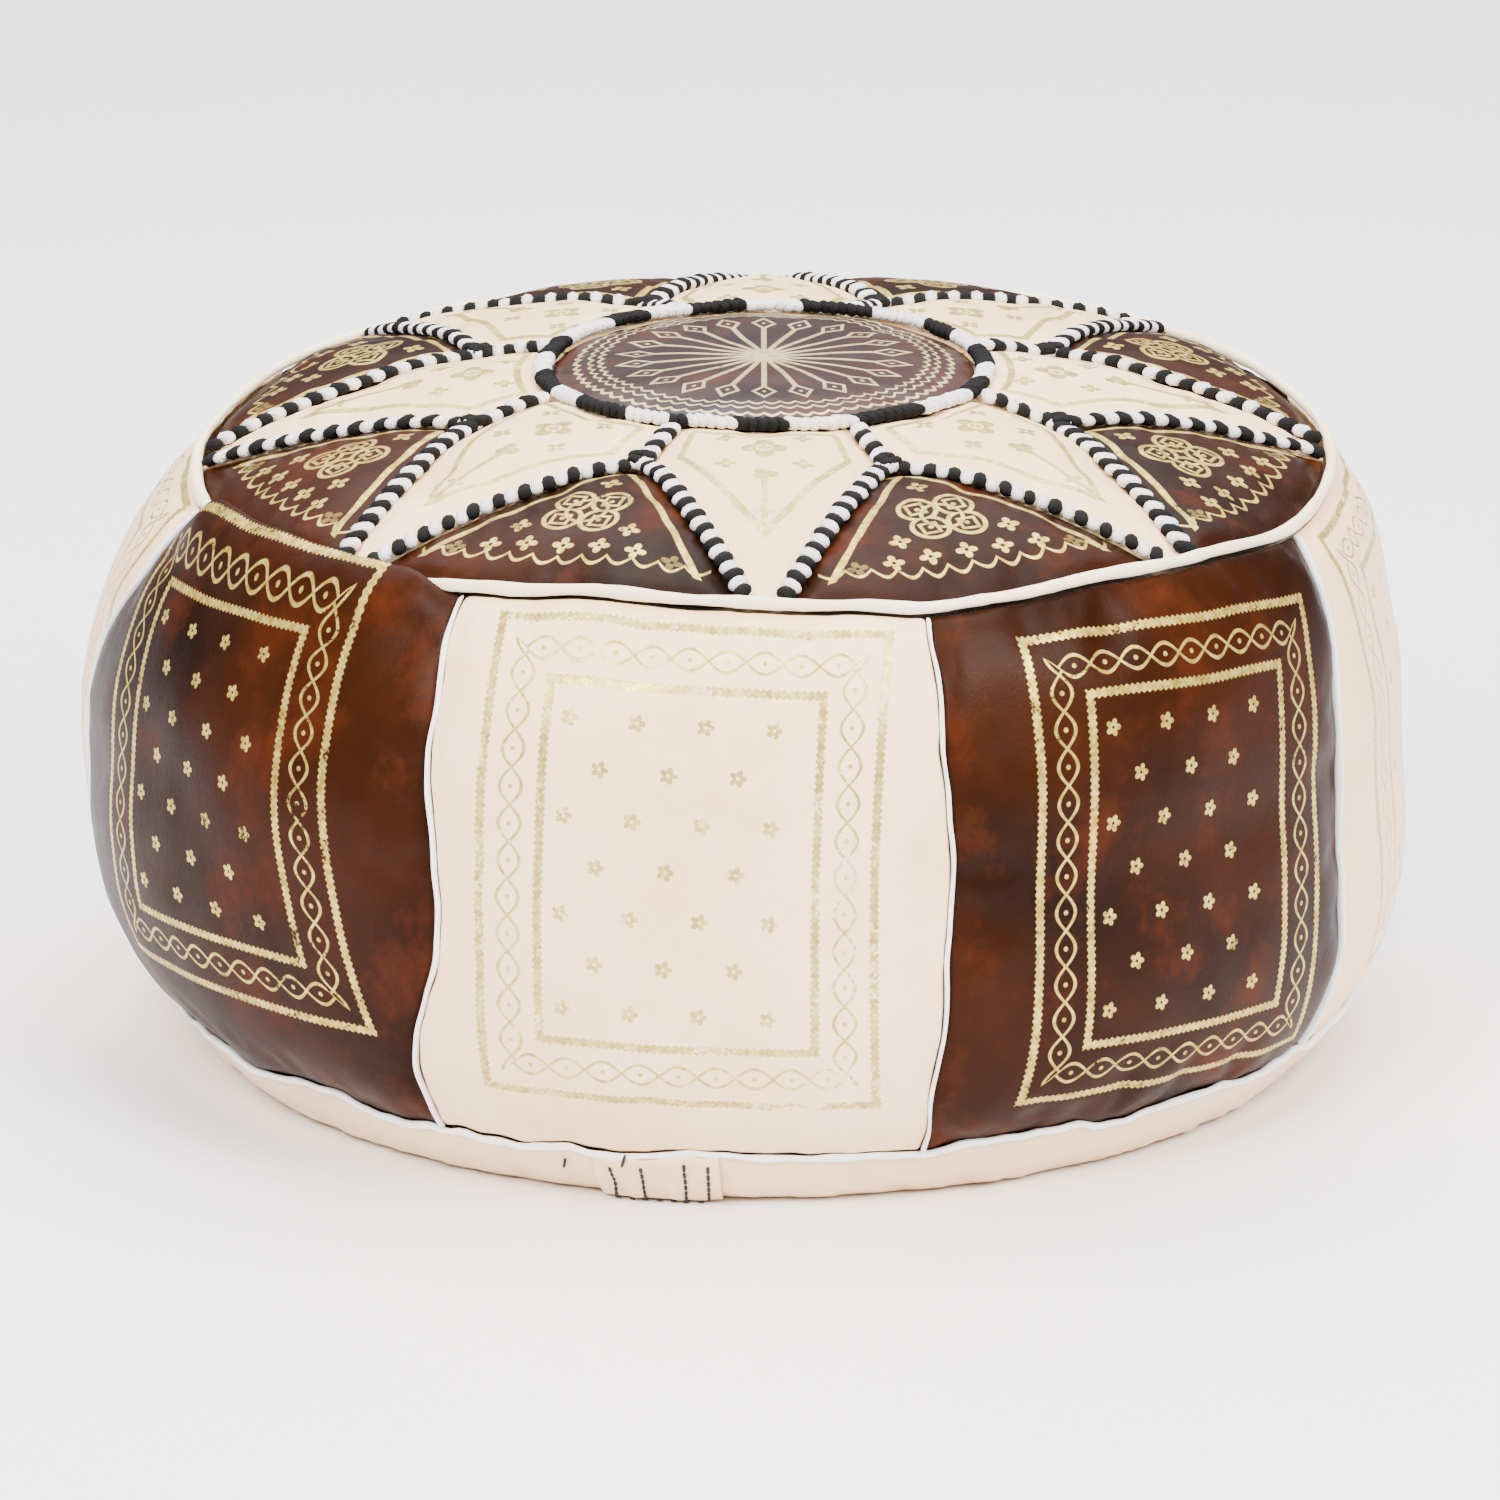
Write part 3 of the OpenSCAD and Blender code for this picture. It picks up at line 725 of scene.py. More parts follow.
# The panel whose top edge rolls up over the rim piping: how high at its two ends, how far it
# bulges and then turns in, and how its print was pulled askew and stretched by that
ROLLED_PANEL = 0
ROLL_HEIGHT = (13 * MM, 8 * MM)
ROLL_BULGE = 2 * MM
ROLL_TURN_IN = 3 * MM
ROLL_SKEW = 0.18
ROLL_STRETCH = 1.06

# The gap between a side panel and the rim, and what its two ends take off the side's length
PANEL_TOP_GAP = 3.2 * MM
PANEL_ENDS = 3.8 * MM
PANEL_SEAM_DEG = 0.12

# Side panels
side_panels = []
for i in range(STAR_POINTS):
    def panel_spot(s, t, i=i):
        drop = PANEL_TOP_GAP + (SIDE_LENGTH - PANEL_ENDS) * (1 - t)
        seam_a = seam_at(i, drop) + PANEL_SEAM_DEG
        seam_b = seam_at(i + 1, drop) - PANEL_SEAM_DEG
        return seam_a + (seam_b - seam_a) * s, drop

    def place(s, t, panel_spot=panel_spot, i=i):
        deg, drop = panel_spot(s, t)
        z = height_at_drop(drop)
        over = smooth((t - 0.9) / 0.1) * smooth(6 * s) * smooth(6 * (1 - s)) if i == ROLLED_PANEL else 0
        out = 0.2 * MM + ROLL_BULGE * math.sin(math.pi * over) - ROLL_TURN_IN * over ** 2
        rise = ROLL_HEIGHT[0] + (ROLL_HEIGHT[1] - ROLL_HEIGHT[0]) * s
        return around(deg, side_radius(z) + out, z + rise * math.sin(math.pi / 2 * over))

    def hide(s, t, panel_spot=panel_spot, i=i):
        deg, drop = panel_spot(s, t)
        u = math.radians(deg - PRINT_DEG[i]) * side_radius(height_at_drop(drop)) / MM
        v = PRINT_DROP[i] - drop / MM
        if i == ROLLED_PANEL:
            u += ROLL_SKEW * v
            v *= ROLL_STRETCH
        tilt = math.radians(PRINT_TILT[i])
        return (u * math.cos(tilt) - v * math.sin(tilt), u * math.sin(tilt) + v * math.cos(tilt))

    across = round((seam_at(i + 1, 0) - seam_at(i, 0)) * 0.95)
    panel = skin(f"side_panel_leather_{i + 1}", across, 48, place, hide, 1.6 * MM, 9 * MM)
    slot, leather = ("brown_leather", brown_side) if i % 2 == 0 else ("cream_leather", cream_side)
    finish_piece(panel, "pouf", slot, [f"side_panel_{i + 1}"], leather)
    side_panels.append(panel)


# Star top: medallion, kites and gores, with their edges out to the ring lacing and the piping
MEDALLION_EDGE_R = MEDALLION_R - 0.5 * MM
RING_EDGE_R = MEDALLION_R + 1 * MM
TOP_EDGE_R = RIM_R - 1.5 * MM


def star_corner(side, r, half_deg):
    angle = math.radians(half_deg)
    return Vector((side * r * math.sin(angle), r * math.cos(angle)))


def kite_edge(t):
    """Right-hand edge of a kite, and its middle, from the medallion (0) to the rim (1)."""
    turn = (APEX_R - RING_EDGE_R) / (TOP_EDGE_R - RING_EDGE_R)
    if t < turn:
        r = RING_EDGE_R + (APEX_R - RING_EDGE_R) * t / turn
        return star_corner(1, r, STAR_STEP / 2), r
    share = (t - turn) / (1 - turn)
    apex = star_corner(1, APEX_R, STAR_STEP / 2)
    tip = star_corner(1, TOP_EDGE_R, TIP_HALF_DEG)
    return apex.lerp(tip, share), APEX_R + (TOP_EDGE_R - APEX_R) * share


def gore_edge(t):
    """Right-hand edge of a gore, and its middle, from its apex (0) to the rim (1)."""
    t = 0.02 + 0.98 * t
    tip = star_corner(1, TOP_EDGE_R, STAR_STEP / 2 - TIP_HALF_DEG)
    return Vector((0, APEX_R)).lerp(tip, t), APEX_R + (TOP_EDGE_R - APEX_R) * t


def top_piece(name, edge_line, middle_deg, across, along):
    """A kite or gore: rows that bow like the rim, between two straight seams."""
    def flat(s, t):
        corner, middle = edge_line(1 - t)
        side = 2 * s - 1
        narrow = max(0.0, corner.x - 0.5 * MM)
        return Vector((side * narrow, middle - (middle - corner.y) * side * side))

    def place(s, t):
        spot = flat(s, t)
        deg = math.degrees(math.atan2(spot.x, spot.y))
        return on_dome(middle_deg + deg, spot.length, -1 * MM)

    def hide(s, t):
        spot = flat(s, t)
        return (spot.x / MM, spot.y / MM)

    return skin(name, across, along, place, hide, 3 * MM, 11 * MM)


kites, gores = [], []
for i in range(STAR_POINTS):
    kite = top_piece(f"kite_leather_{i + 1}", kite_edge, STAR_STEP * i, 24, 34)
    finish_piece(kite, "pouf", "cream_leather", [f"kite_{i + 1}"], cream_kite)
    kites.append(kite)
    gore = top_piece(f"gore_leather_{i + 1}", gore_edge, STAR_STEP * (i + 0.5), 36, 28)
    finish_piece(gore, "pouf", "brown_leather", [f"gore_{i + 1}"], brown_gore)
    gores.append(gore)


def disc(s, t):
    """A point of the unit disc for a point of the unit square."""
    x, y = 2 * s - 1, 2 * t - 1
    return Vector((x * math.sqrt(1 - y * y / 2), y * math.sqrt(1 - x * x / 2)))


def medallion_place(s, t):
    spot = disc(s, t) * MEDALLION_EDGE_R
    return Vector((spot.x, spot.y, dome_height(spot.length) - 1 * MM))


def medallion_hide(s, t):
    return tuple(disc(s, t) * (MEDALLION_EDGE_R / MM))


medallion = skin("medallion_leather", 44, 44, medallion_place, medallion_hide, 2.5 * MM, 10 * MM)
finish_piece(medallion, "pouf", "brown_leather", ["medallion"], brown_medallion)

skins = side_panels + kites + gores + [medallion]
stuff(side_panels, 4 * MM, 0.012)
stuff(kites + gores, 5 * MM, 0.012)
stuff([medallion], 3 * MM, 0.004)
for piece in skins:
    wrinkle(piece, 1.1 * MM, 6 * MM)
    thicken(piece, 1.6 * MM)


# Lacing ------------------------------------------------------------------------------------------


def stitch_template():
    """One bundle of thread, 2 by 2 by 2: blunt-ended, with few faces."""
    bm = bmesh.new()
    bmesh.ops.create_uvsphere(bm, u_segments=8, v_segments=6, radius=1,
                              matrix=Matrix.Rotation(math.pi / 2, 4, "Y"))
    layer = bm.loops.layers.uv.new("thread")
    for vert in bm.verts:
        vert.co.x = math.copysign(abs(vert.co.x) ** 0.75, vert.co.x)
        vert.co.y = math.copysign(abs(vert.co.y) ** 0.8, vert.co.y)
    for face in bm.faces:
        for loop in face.loops:
            loop[layer].uv = (loop.vert.co.x, loop.vert.co.y)
    mesh = bpy.data.meshes.new("stitch_template")
    bm.to_mesh(mesh)
    bm.free()
    return mesh


stitch_mesh = stitch_template()


def lay_stitch(bm, spot, across, normal, size, colour):
    """Adds one bundle: size is its half length across the seam, half width and half height."""
    count = len(bm.verts)
    faces = len(bm.faces)
    bm.from_mesh(stitch_mesh)
    bm.verts.ensure_lookup_table()
    bm.faces.ensure_lookup_table()
    side = normal.cross(across).normalized()
    up = across.cross(side).normalized()
    turn = Matrix((across.normalized(), side, up)).transposed().to_4x4()
    matrix = Matrix.Translation(spot) @ turn @ Matrix.Diagonal((*size, 1))
    bmesh.ops.transform(bm, matrix=matrix, verts=bm.verts[count:])
    for face in bm.faces[faces:]:
        face.material_index = colour


def lace(bm, line_at, length, pitch, slant, size, colours, rng):
    """Lays bundles along a seam: line_at(x) is the seam's point at x metres along it, and
    colours(k) is the thread, white (0) or black (1), of bundle k."""
    count = max(2, round(length / pitch))
    for k in range(count):
        x = (k + 0.5) * length / count
        here = settle(line_at(x))
        ahead = settle(line_at(x + 1 * MM))
        along = (ahead - here).normalized()
        flat_up = Vector((here.x * 0.35, here.y * 0.35, 1)).normalized()
        across = along.cross(flat_up).normalized()
        normal = across.cross(along).normalized()
        if normal.z < 0:
            normal = -normal
        angle = math.radians(slant + rng.uniform(-7, 7))
        lean = across * math.cos(angle) + along * math.sin(angle)
        jitter = along * rng.uniform(-0.4, 0.4) * MM + normal * rng.uniform(-0.3, 0.4) * MM
        scale = [part * rng.uniform(0.9, 1.1) for part in size]
        lay_stitch(bm, here + jitter - normal * 0.6 * MM, lean, normal, scale, colours(k))


def between(start, end):
    """The dome line between two flat points, as a function of length along it."""
    reach_flat = (end - start).length

    def at(x):
        spot = start.lerp(end, x / reach_flat)
        return on_dome(math.degrees(math.atan2(spot.x, -spot.y)), spot.length)
    return at, reach_flat


# Half sizes of a bundle across the seam, along it and up; the pitch of the bundles; the leans of
# the spokes, of the arms and of the ring, in degrees
STITCH = (4.9 * MM, 3.05 * MM, 2.9 * MM)
RING_STITCH = (5.0 * MM, 2.6 * MM, 2.9 * MM)
KNOT_STITCH = (4.2 * MM, 2.8 * MM, 2.6 * MM)
STITCH_PITCH = 5.6 * MM
RING_PITCH = 4.2 * MM
SPOKE_SLANT = 35
ARM_SLANT = 28
RING_SLANT = 40

rng = random.Random(17)
for i in range(STAR_POINTS):
    middle = STAR_STEP * (i + 0.5)
    apex = around(middle, APEX_R, 0)
    spoke = around(middle, MEDALLION_R + 9 * MM, 0)
    bm = bmesh.new()
    bm.loops.layers.uv.new("thread")
    runs = [(spoke, apex, SPOKE_SLANT)]
    for side in (-1, 1):
        tip = around(middle + side * (STAR_STEP / 2 - TIP_HALF_DEG), RIM_R - 4 * MM, 0)
        runs.append((apex, tip, ARM_SLANT * side))
    for start, end, slant in runs:
        at, length = between(Vector((start.x, start.y)), Vector((end.x, end.y)))
        lace(bm, at, length, STITCH_PITCH, slant, STITCH, lambda k: k % 2, rng)
    for k in range(4):
        spot = settle(on_dome(middle + rng.uniform(-1.6, 1.6), APEX_R + rng.uniform(-4, 4) * MM))
        across = Vector((math.cos(k * 1.1), math.sin(k * 1.1), 0))
        lay_stitch(bm, spot + Vector((0, 0, 0.8 * MM)), across, Vector((0, 0, 1)), KNOT_STITCH, 1)
    lacing = as_object(f"star_lacing_thread_{i + 1}", bm)
    finish_piece(lacing, "pouf", "lacing_thread", [f"star_lacing_{i + 1}"], white_thread, black_thread)

# Lacing round the medallion, in runs of one colour
RING_R = MEDALLION_R + 3 * MM
MOST_RING_STITCHES = 200
bm = bmesh.new()
bm.loops.layers.uv.new("thread")
ring_colours = []
colour = 0
while len(ring_colours) < MOST_RING_STITCHES:
    ring_colours += [colour] * rng.randint(5, 8)
    colour = 1 - colour
lace(bm, lambda x: on_dome(math.degrees(x / RING_R) - 20, RING_R, 0.8 * MM), WHOLE_TURN * RING_R,
     RING_PITCH, RING_SLANT, RING_STITCH, lambda k: ring_colours[k], rng)
ring = as_object("ring_lacing_thread", bm)
finish_piece(ring, "pouf", "lacing_thread", ["ring_lacing"], white_thread, black_thread)


# Piping, welts and base --------------------------------------------------------------------------


def spun_ring(major, minor, z, segments, rings):
    """A ring of round cord about the drum's axis."""
    bm = bmesh.new()
    bmesh.ops.create_circle(bm, segments=rings, radius=minor,
                            matrix=Matrix.Translation((major, 0, z)) @ Matrix.Rotation(math.pi / 2, 4, "X"))
    bmesh.ops.spin(bm, geom=bm.verts[:] + bm.edges[:], cent=(0, 0, 0), axis=(0, 0, 1), angle=WHOLE_TURN,
                   steps=segments, use_merge=True)
    bmesh.ops.remove_doubles(bm, verts=bm.verts, dist=0.05 * MM)
    bmesh.ops.recalc_face_normals(bm, faces=bm.faces)
    return bm


# The piping: how full its cord is, and how far it is squashed and pushed in under the rolled panel
PIPING_FULL = 0.74
PIPING_SQUASH = 0.3
PIPING_IN = 3 * MM
PIPING_DOWN = 2 * MM

bm = spun_ring(RIM_R, PIPING_R, RIM_Z, 288, 12)
for vert in bm.verts:
    deg = math.degrees(math.atan2(vert.co.x, -vert.co.y))
    heart = around(deg, RIM_R, RIM_Z)
    rolled = smooth((deg + 77) / 8) * smooth((-31 - deg) / 6)
    swell = PIPING_FULL - PIPING_SQUASH * rolled
    swell += 0.2 * noise.noise(heart * 45) + 0.08 * noise.noise(heart * 240)
    sunk = around(deg, RIM_R - PIPING_IN * rolled, RIM_Z - PIPING_DOWN * rolled)
    vert.co = settle(sunk + (vert.co - heart) * swell)
piping = as_object("rim_piping_cord", bm)
finish_piece(piping, "pouf", "cream_piping", ["rim_piping"], piping_leather)

bm = spun_ring(SEAM_R, WELT_R, SEAM_Z, 420, 8)
for vert in bm.verts:
    deg = math.degrees(math.atan2(vert.co.x, -vert.co.y))
    heart = around(deg, SEAM_R, SEAM_Z)
    swell = 1.0 + 0.35 * noise.noise(heart * 90)
    vert.co = settle(heart + (vert.co - heart) * swell)
base_welt = as_object("base_welt_cord", bm)
finish_piece(base_welt, "pouf", "white_welt", ["base_welt"], welt_leather)

# The side seams' folded strips: how far they stand out, and the seam whose strip stands prouder
WELT_OUT = 1.4 * MM
PROUD_SEAM = 2
PROUD_WELT_OUT = 2.1 * MM
WELT_ROOT = 3.2 * MM
WELT_HALF_W = 1.3 * MM

for i in range(STAR_POINTS):
    seam = SEAM_DEG[i]
    bm = bmesh.new()
    bmesh.ops.create_cube(bm, size=1)
    rows = [edge for edge in bm.edges if abs(edge.verts[0].co.z - edge.verts[1].co.z) > 0.5]
    bmesh.ops.subdivide_edges(bm, edges=rows, cuts=95, use_grid_fill=True)
    flap = PROUD_WELT_OUT if i == PROUD_SEAM else WELT_OUT
    for vert in bm.verts:
        drop = 4.5 * MM + (SIDE_LENGTH - 6 * MM) * (0.5 - vert.co.z)
        z = height_at_drop(drop)
        wide = 1.25 + 0.6 * noise.noise(Vector((seam, drop * 60, 1.3)))
        frill = 0.6 * MM * noise.noise(Vector((seam, drop * 45, 5.5)))
        r = side_radius(z) + (-WELT_ROOT if vert.co.y > 0 else flap + frill)
        deg = seam_at(i, drop) + math.degrees(vert.co.x * wide * WELT_HALF_W / r)
        vert.co = settle(around(deg, r, z))
    bmesh.ops.recalc_face_normals(bm, faces=bm.faces)
    welt = as_object(f"side_welt_strip_{i + 1}", bm)
    soft = welt.modifiers.new("rounding", "SUBSURF")
    soft.levels = 1
    soft.render_levels = 1
    finish_piece(welt, "pouf", "white_welt", [f"side_welt_{i + 1}"], welt_leather)


def base_height(r):
    """How the base leather turns up from the floor to its seam."""
    return SEAM_Z * max(0.0, (r - FOOT_R) / TURN_UP) ** 1.6


def pucker_base(p):
    """Gathers of the base leather where it is drawn up to the side."""
    r = math.hypot(p.x, p.y)
    rise = min(1.0, max(0.0, (r - FOOT_R + 8 * MM) / TURN_UP))
    if rise == 0:
        return p
    deg = math.atan2(p.x, -p.y)
    fold = noise.noise(Vector((math.sin(deg) * 17, math.cos(deg) * 17, r * 12)))
    fine = noise.noise(Vector((math.sin(deg) * 46, math.cos(deg) * 46, r * 30)))
    crease = abs(noise.noise(Vector((math.sin(deg) * 26 + r * 60, math.cos(deg) * 26, r * 20))))
    swing = (fold * 4.5 + fine * 2.0 + (0.25 - crease) * 5.5) * MM * rise * (1 - 0.7 * rise ** 4)
    outward = Vector((p.x, p.y, 0)).normalized()
    moved = p + outward * swing + Vector((0, 0, -abs(swing) * 0.3 * (1 - rise)))
    moved = settle(moved)
    moved.z = max(0.0, moved.z)
    return moved


# The opening over the zip: its two ends and half its width
SLOT_LOW = -180 * MM
SLOT_HIGH = 161 * MM
SLOT_HALF = 7.5 * MM
BASE_EDGE_R = SEAM_R - 0.6 * MM

bm = bmesh.new()
bmesh.ops.create_circle(bm, cap_ends=True, segments=32, radius=SLOT_HALF)
bmesh.ops.translate(bm, verts=bm.verts, vec=(0, 0, -5 * MM))
for vert in bm.verts:
    vert.co.x += SLOT_HIGH - SLOT_HALF if vert.co.x > 0 else SLOT_LOW + SLOT_HALF
lid = bmesh.ops.extrude_face_region(bm, geom=bm.faces[:])
bmesh.ops.translate(bm, verts=[item for item in lid["geom"] if isinstance(item, bmesh.types.BMVert)],
                    vec=(0, 0, 15 * MM))
bmesh.ops.recalc_face_normals(bm, faces=bm.faces)
slot_cutter = as_object("slot_cutter", bm, False)

FLAT_STEPS = [0.0, 0.05, 0.1, 0.15, 0.18, 0.2, 0.215, 0.225]

for side, name in ((-1, "front"), (1, "back")):
    bm = bmesh.new()
    steps = FLAT_STEPS + [FOOT_R + (BASE_EDGE_R - FOOT_R) * k / 10 for k in range(11)]
    chain = [bm.verts.new((r, 0, base_height(r))) for r in steps]
    for a, b in zip(chain, chain[1:]):
        bm.edges.new((a, b))
    bmesh.ops.spin(bm, geom=bm.verts[:] + bm.edges[:], cent=(0, 0, 0), axis=(0, 0, 1), angle=WHOLE_TURN,
                   steps=420, use_merge=True)
    bmesh.ops.remove_doubles(bm, verts=bm.verts, dist=0.05 * MM)
    bmesh.ops.bisect_plane(bm, geom=bm.verts[:] + bm.edges[:] + bm.faces[:], plane_co=(0, side * 0.3 * MM, 0),
                           plane_no=(0, -side, 0), clear_outer=True)
    for vert in bm.verts:
        vert.co = pucker_base(vert.co)
    bmesh.ops.recalc_face_normals(bm, faces=bm.faces)
    if sum(face.normal.z for face in bm.faces) > 0:
        bmesh.ops.reverse_faces(bm, faces=bm.faces)
    half = as_object(f"base_leather_{name}", bm)
    wall = half.modifiers.new("thickness", "SOLIDIFY")
    wall.thickness = 1.8 * MM
    wall.offset = -1
    slot_cut = half.modifiers.new("zip_opening", "BOOLEAN")
    slot_cut.operation = "DIFFERENCE"
    slot_cut.object = slot_cutter
    slot_cut.solver = "EXACT"
    bpy.context.view_layer.update()
    cut_mesh = bpy.data.meshes.new_from_object(half.evaluated_get(bpy.context.evaluated_depsgraph_get()))
    half.modifiers.clear()
    half.data = cut_mesh
    half.data.materials.clear()
    half.data.name = f"base_leather_{name}"
    finish_piece(half, "pouf", "cream_leather", [f"base_{name}"], cream_plain)
bpy.data.objects.remove(slot_cutter)

# Patch folded over the front edge of the base, and its basting
PATCH_DEG = -10
PATCH_W = 54 * MM
PATCH_H = 30 * MM
PATCH_HALF_DEG = math.degrees(math.asin(PATCH_W / 2 / SEAM_R))
PATCH_FOOT_R = FOOT_R + 3 * MM


def patch_place(s, t):
    """A point of the patch, which stands off the base in folds, most at its foot."""
    r = PATCH_FOOT_R + (BASE_EDGE_R - PATCH_FOOT_R) * t
    deg = PATCH_DEG + PATCH_HALF_DEG * (2 * s - 1)
    p = pucker_base(around(deg, r, base_height(r)))
    out = (3.4 + 2.4 * (1 - t) ** 2) * MM + 1.8 * MM * noise.noise(Vector((s * 7, t * 2.5, 2.2)))
    slope = Vector((p.x, p.y, 0)).normalized() * 0.85 - Vector((0, 0, 0.25))
    spot = p + slope * out
    spot.z = max(0.4 * MM, spot.z + 0.6 * MM)
    return spot


def patch_hide(s, t):
    return (s * PATCH_W / MM, t * PATCH_H / MM)


patch = skin("edge_patch_leather", 26, 12, patch_place, patch_hide, 0.3 * MM, 2 * MM)
thicken(patch, 1.5 * MM)
finish_piece(patch, "pouf", "cream_leather", ["edge_patch"], cream_plain)

def baste(bm, start, end, share, half_w, lift):
    """One dash of black thread over a share of the way between two points (s, t) of the patch."""
    a = patch_place(*start)
    b = patch_place(*end)
    outward = Vector((a.x, a.y, 0)).normalized()
    lay_stitch(bm, (a + b) / 2 + outward * lift, b - a, outward,
               ((b - a).length * share, half_w, 0.6 * MM), 0)


# Four upright rows of basting, two strays to their left, and the row along the foot
bm = bmesh.new()
bm.loops.layers.uv.new("thread")
for x in (-20, -7, 11, 21):
    s = 0.5 + x * MM / PATCH_W
    for k in range(6):
        t = 0.14 + 0.78 * k / 6
        baste(bm, (s + 0.02 * k / 6, t), (s + 0.02 * (k + 1) / 6, t + 0.11), 0.52, 0.8 * MM, 0.5 * MM)
baste(bm, (-0.27, 0.66), (-0.22, 0.86), 0.5, 0.7 * MM, -1.5 * MM)
baste(bm, (0.24, 0.9), (0.29, 1.1), 0.5, 0.7 * MM, 0)
for k in range(7):
    s = 0.1 + 0.8 * k / 7
    baste(bm, (s, 0.07), (s + 0.07, 0.07), 0.4, 0.7 * MM, 0.5 * MM)
basting = as_object("patch_basting_thread", bm)
finish_piece(basting, "pouf", "black_thread", ["patch_stitches"], basting_thread)


# Filling and its bag, out of sight ---------------------------------------------------------------


def inner_drum(name, inset, low, high, slot, nodes, material):
    """A closed drum that follows the cover from inside, between two heights."""
    bm = bmesh.new()
    outline = [(0.0, 6 * MM), (FOOT_R * 0.5, 6 * MM), (FOOT_R - inset, 8 * MM)]
    for k in range(29):
        z = SEAM_Z + (RIM_Z - SEAM_Z) * k / 28
        outline.append((side_radius(z) - inset, z))
    outline = [(r, min(z, dome_height(r) - inset)) for r, z in outline]
    for k in range(1, 11):
        share = 1 - k / 10
        outline.append(((RIM_R - inset) * share, dome_height(RIM_R * share) - inset))
    outline = [(max(0.0, r), min(max(z, low), high)) for r, z in outline]
    chain = [bm.verts.new((r, 0, z)) for r, z in outline]
    for a, b in zip(chain, chain[1:]):
        bm.edges.new((a, b))
    bmesh.ops.spin(bm, geom=bm.verts[:] + bm.edges[:], cent=(0, 0, 0), axis=(0, 0, 1), angle=WHOLE_TURN,
                   steps=96, use_merge=True)
    bmesh.ops.remove_doubles(bm, verts=bm.verts, dist=0.3 * MM)
    for vert in bm.verts:
        lump = abs(noise.noise(vert.co * 24)) * 1.5 * MM
        inward = Vector((-vert.co.x, -vert.co.y, 0))
        if inward.length > 1e-6:
            vert.co += inward.normalized() * lump
        vert.co = settle(vert.co)
    bmesh.ops.recalc_face_normals(bm, faces=bm.faces)
    obj = as_object(name, bm)
    return finish_piece(obj, "pouf", slot, nodes, material)


# Each lies within the cover by its inset, between a floor and a ceiling
MIDDLE_Z = (RIM_Z + SEAM_Z) / 2
OVER_ALL = 1.0
BAG_INSET = 12 * MM
inner_drum("bag_upper_calico", BAG_INSET, MIDDLE_Z, OVER_ALL, "bag_cloth", ["inner_bag_upper"], bag_cotton)
inner_drum("bag_lower_calico", BAG_INSET, 0.0, MIDDLE_Z - 1 * MM, "bag_cloth", ["inner_bag_lower"],
           bag_cotton)
filling = inner_drum("cotton_filling", 15 * MM, 9 * MM, OVER_ALL, "stuffing", ["stuffing"], wadding)

# The zip keeps the frame's own shapes
for node_name, material in (("zip_tape_front", tape_cotton), ("zip_tape_back", tape_cotton),
                            ("zip_teeth_front", zip_brass), ("zip_teeth_back", zip_brass),
                            ("zip_stops", zip_brass), ("zip_slider", zip_brass), ("zip_pull", zip_brass)):
    for material_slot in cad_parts[node_name].material_slots:
        material_slot.material = material


# Studio ------------------------------------------------------------------------------------------

# The floor is a ring of one-sided paper just under the pouf, so that the underside gets light and
# can be seen from below
FLAT_R = 0.228
FLOOR_SPREAD = 26
FLOOR_Z = -0.3 * MM
bm = bmesh.new()
bmesh.ops.create_circle(bm, segments=120, radius=FLAT_R, matrix=Matrix.Translation((0, 0, FLOOR_Z)))
wide = bmesh.ops.extrude_edge_only(bm, edges=bm.edges[:])["geom"]
bmesh.ops.scale(bm, verts=[item for item in wide if isinstance(item, bmesh.types.BMVert)],
                vec=(FLOOR_SPREAD, FLOOR_SPREAD, 1))
bm.normal_update()
bmesh.ops.reverse_faces(bm, faces=[face for face in bm.faces if face.normal.z < 0])
floor = as_object("studio_floor", bm)
material, tree, surface = shader("studio_paper")
place = add(tree, "TexCoord", out=3)
fibre = add(tree, "TexNoise", place, None, 3.0, 2.0, 0.5)
colour = add(tree, "Mix", fibre, *NOT_COLOUR, hex_colour("#f4f3f9"), hex_colour("#f7f6fb"), out=2,
             data_type="RGBA")
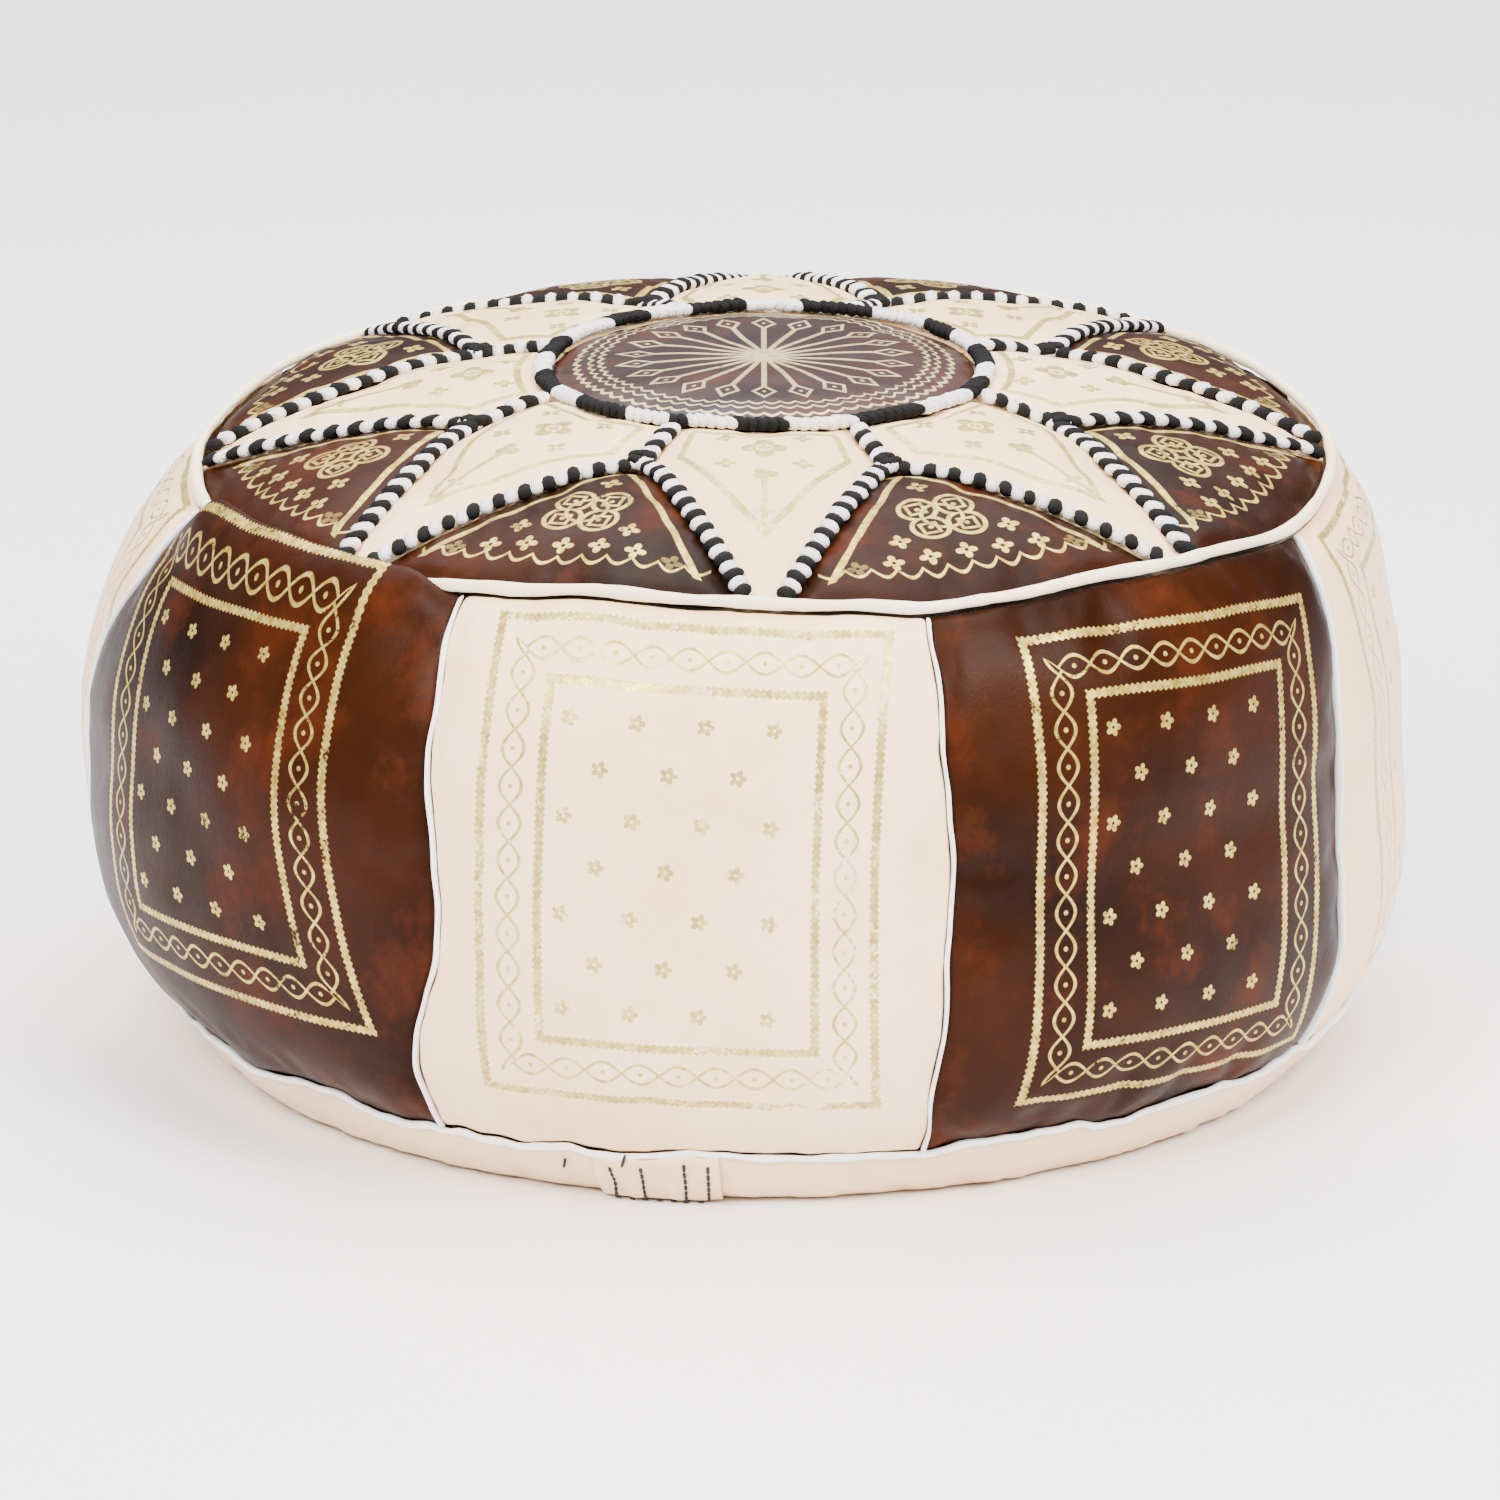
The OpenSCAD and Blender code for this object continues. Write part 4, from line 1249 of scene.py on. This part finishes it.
feed(tree, surface, Base_Color=colour, Roughness=0.75)
from_below = add(tree, "NewGeometry", out=6)
air = add(tree, "BsdfTransparent")
sheet_of_paper = add(tree, "MixShader", from_below, surface.outputs[0], air)
tree.links.new(sheet_of_paper, tree.nodes["Material Output"].inputs[0])
floor.data.materials.append(material)

world = bpy.data.worlds.new("studio_air")
bpy.context.scene.world = world
world.use_nodes = True
world.node_tree.nodes["Background"].inputs[0].default_value = hex_colour("#e8e9f2")
world.node_tree.nodes["Background"].inputs[1].default_value = 0.5


def softbox(name, spot, aim, size, power, colour):
    """A soft studio lamp at a spot, turned to face an aim; its power is in watts."""
    lamp = bpy.data.lights.new(name, "AREA")
    lamp.shape = "RECTANGLE"
    lamp.size, lamp.size_y = size
    lamp.energy = power
    lamp.color = hex_colour(colour)[:3]
    obj = bpy.data.objects.new(name, lamp)
    obj.location = spot
    obj.rotation_euler = (Vector(aim) - Vector(spot)).to_track_quat("-Z", "Y").to_euler()
    bpy.context.scene.collection.objects.link(obj)


softbox("overhead_softbox", (0.1, 0.2, 2.3), (0, 0, 0.2), (2.2, 1.8), 135, "#fffdf8")
softbox("front_left_softbox", (-1.3, -2.3, 2.5), (0, 0, 0.1), (1.6, 1.4), 235, "#fff8f0")
softbox("front_right_softbox", (1.7, -2.0, 2.4), (0, 0, 0.1), (1.5, 1.4), 200, "#fff8f0")
softbox("backdrop_softbox", (0, 3.4, 3.4), (0, 3.4, 0), (6.0, 2.5), 260, "#f4f6ff")

LENS_MM = 220.8
DISTANCE = 4.0
TILT = math.radians(17.5)

camera = bpy.data.cameras.new("camera")
camera.sensor_width = 36
camera.lens = LENS_MM
camera.clip_end = 50
camera_obj = bpy.data.objects.new("camera", camera)
target = Vector((-0.006, 0, 0.120))
camera_obj.location = target + Vector((0, -math.cos(TILT), math.sin(TILT))) * DISTANCE
camera_obj.rotation_euler = (target - camera_obj.location).to_track_quat("-Z", "Y").to_euler()
bpy.context.scene.collection.objects.link(camera_obj)
bpy.context.scene.camera = camera_obj
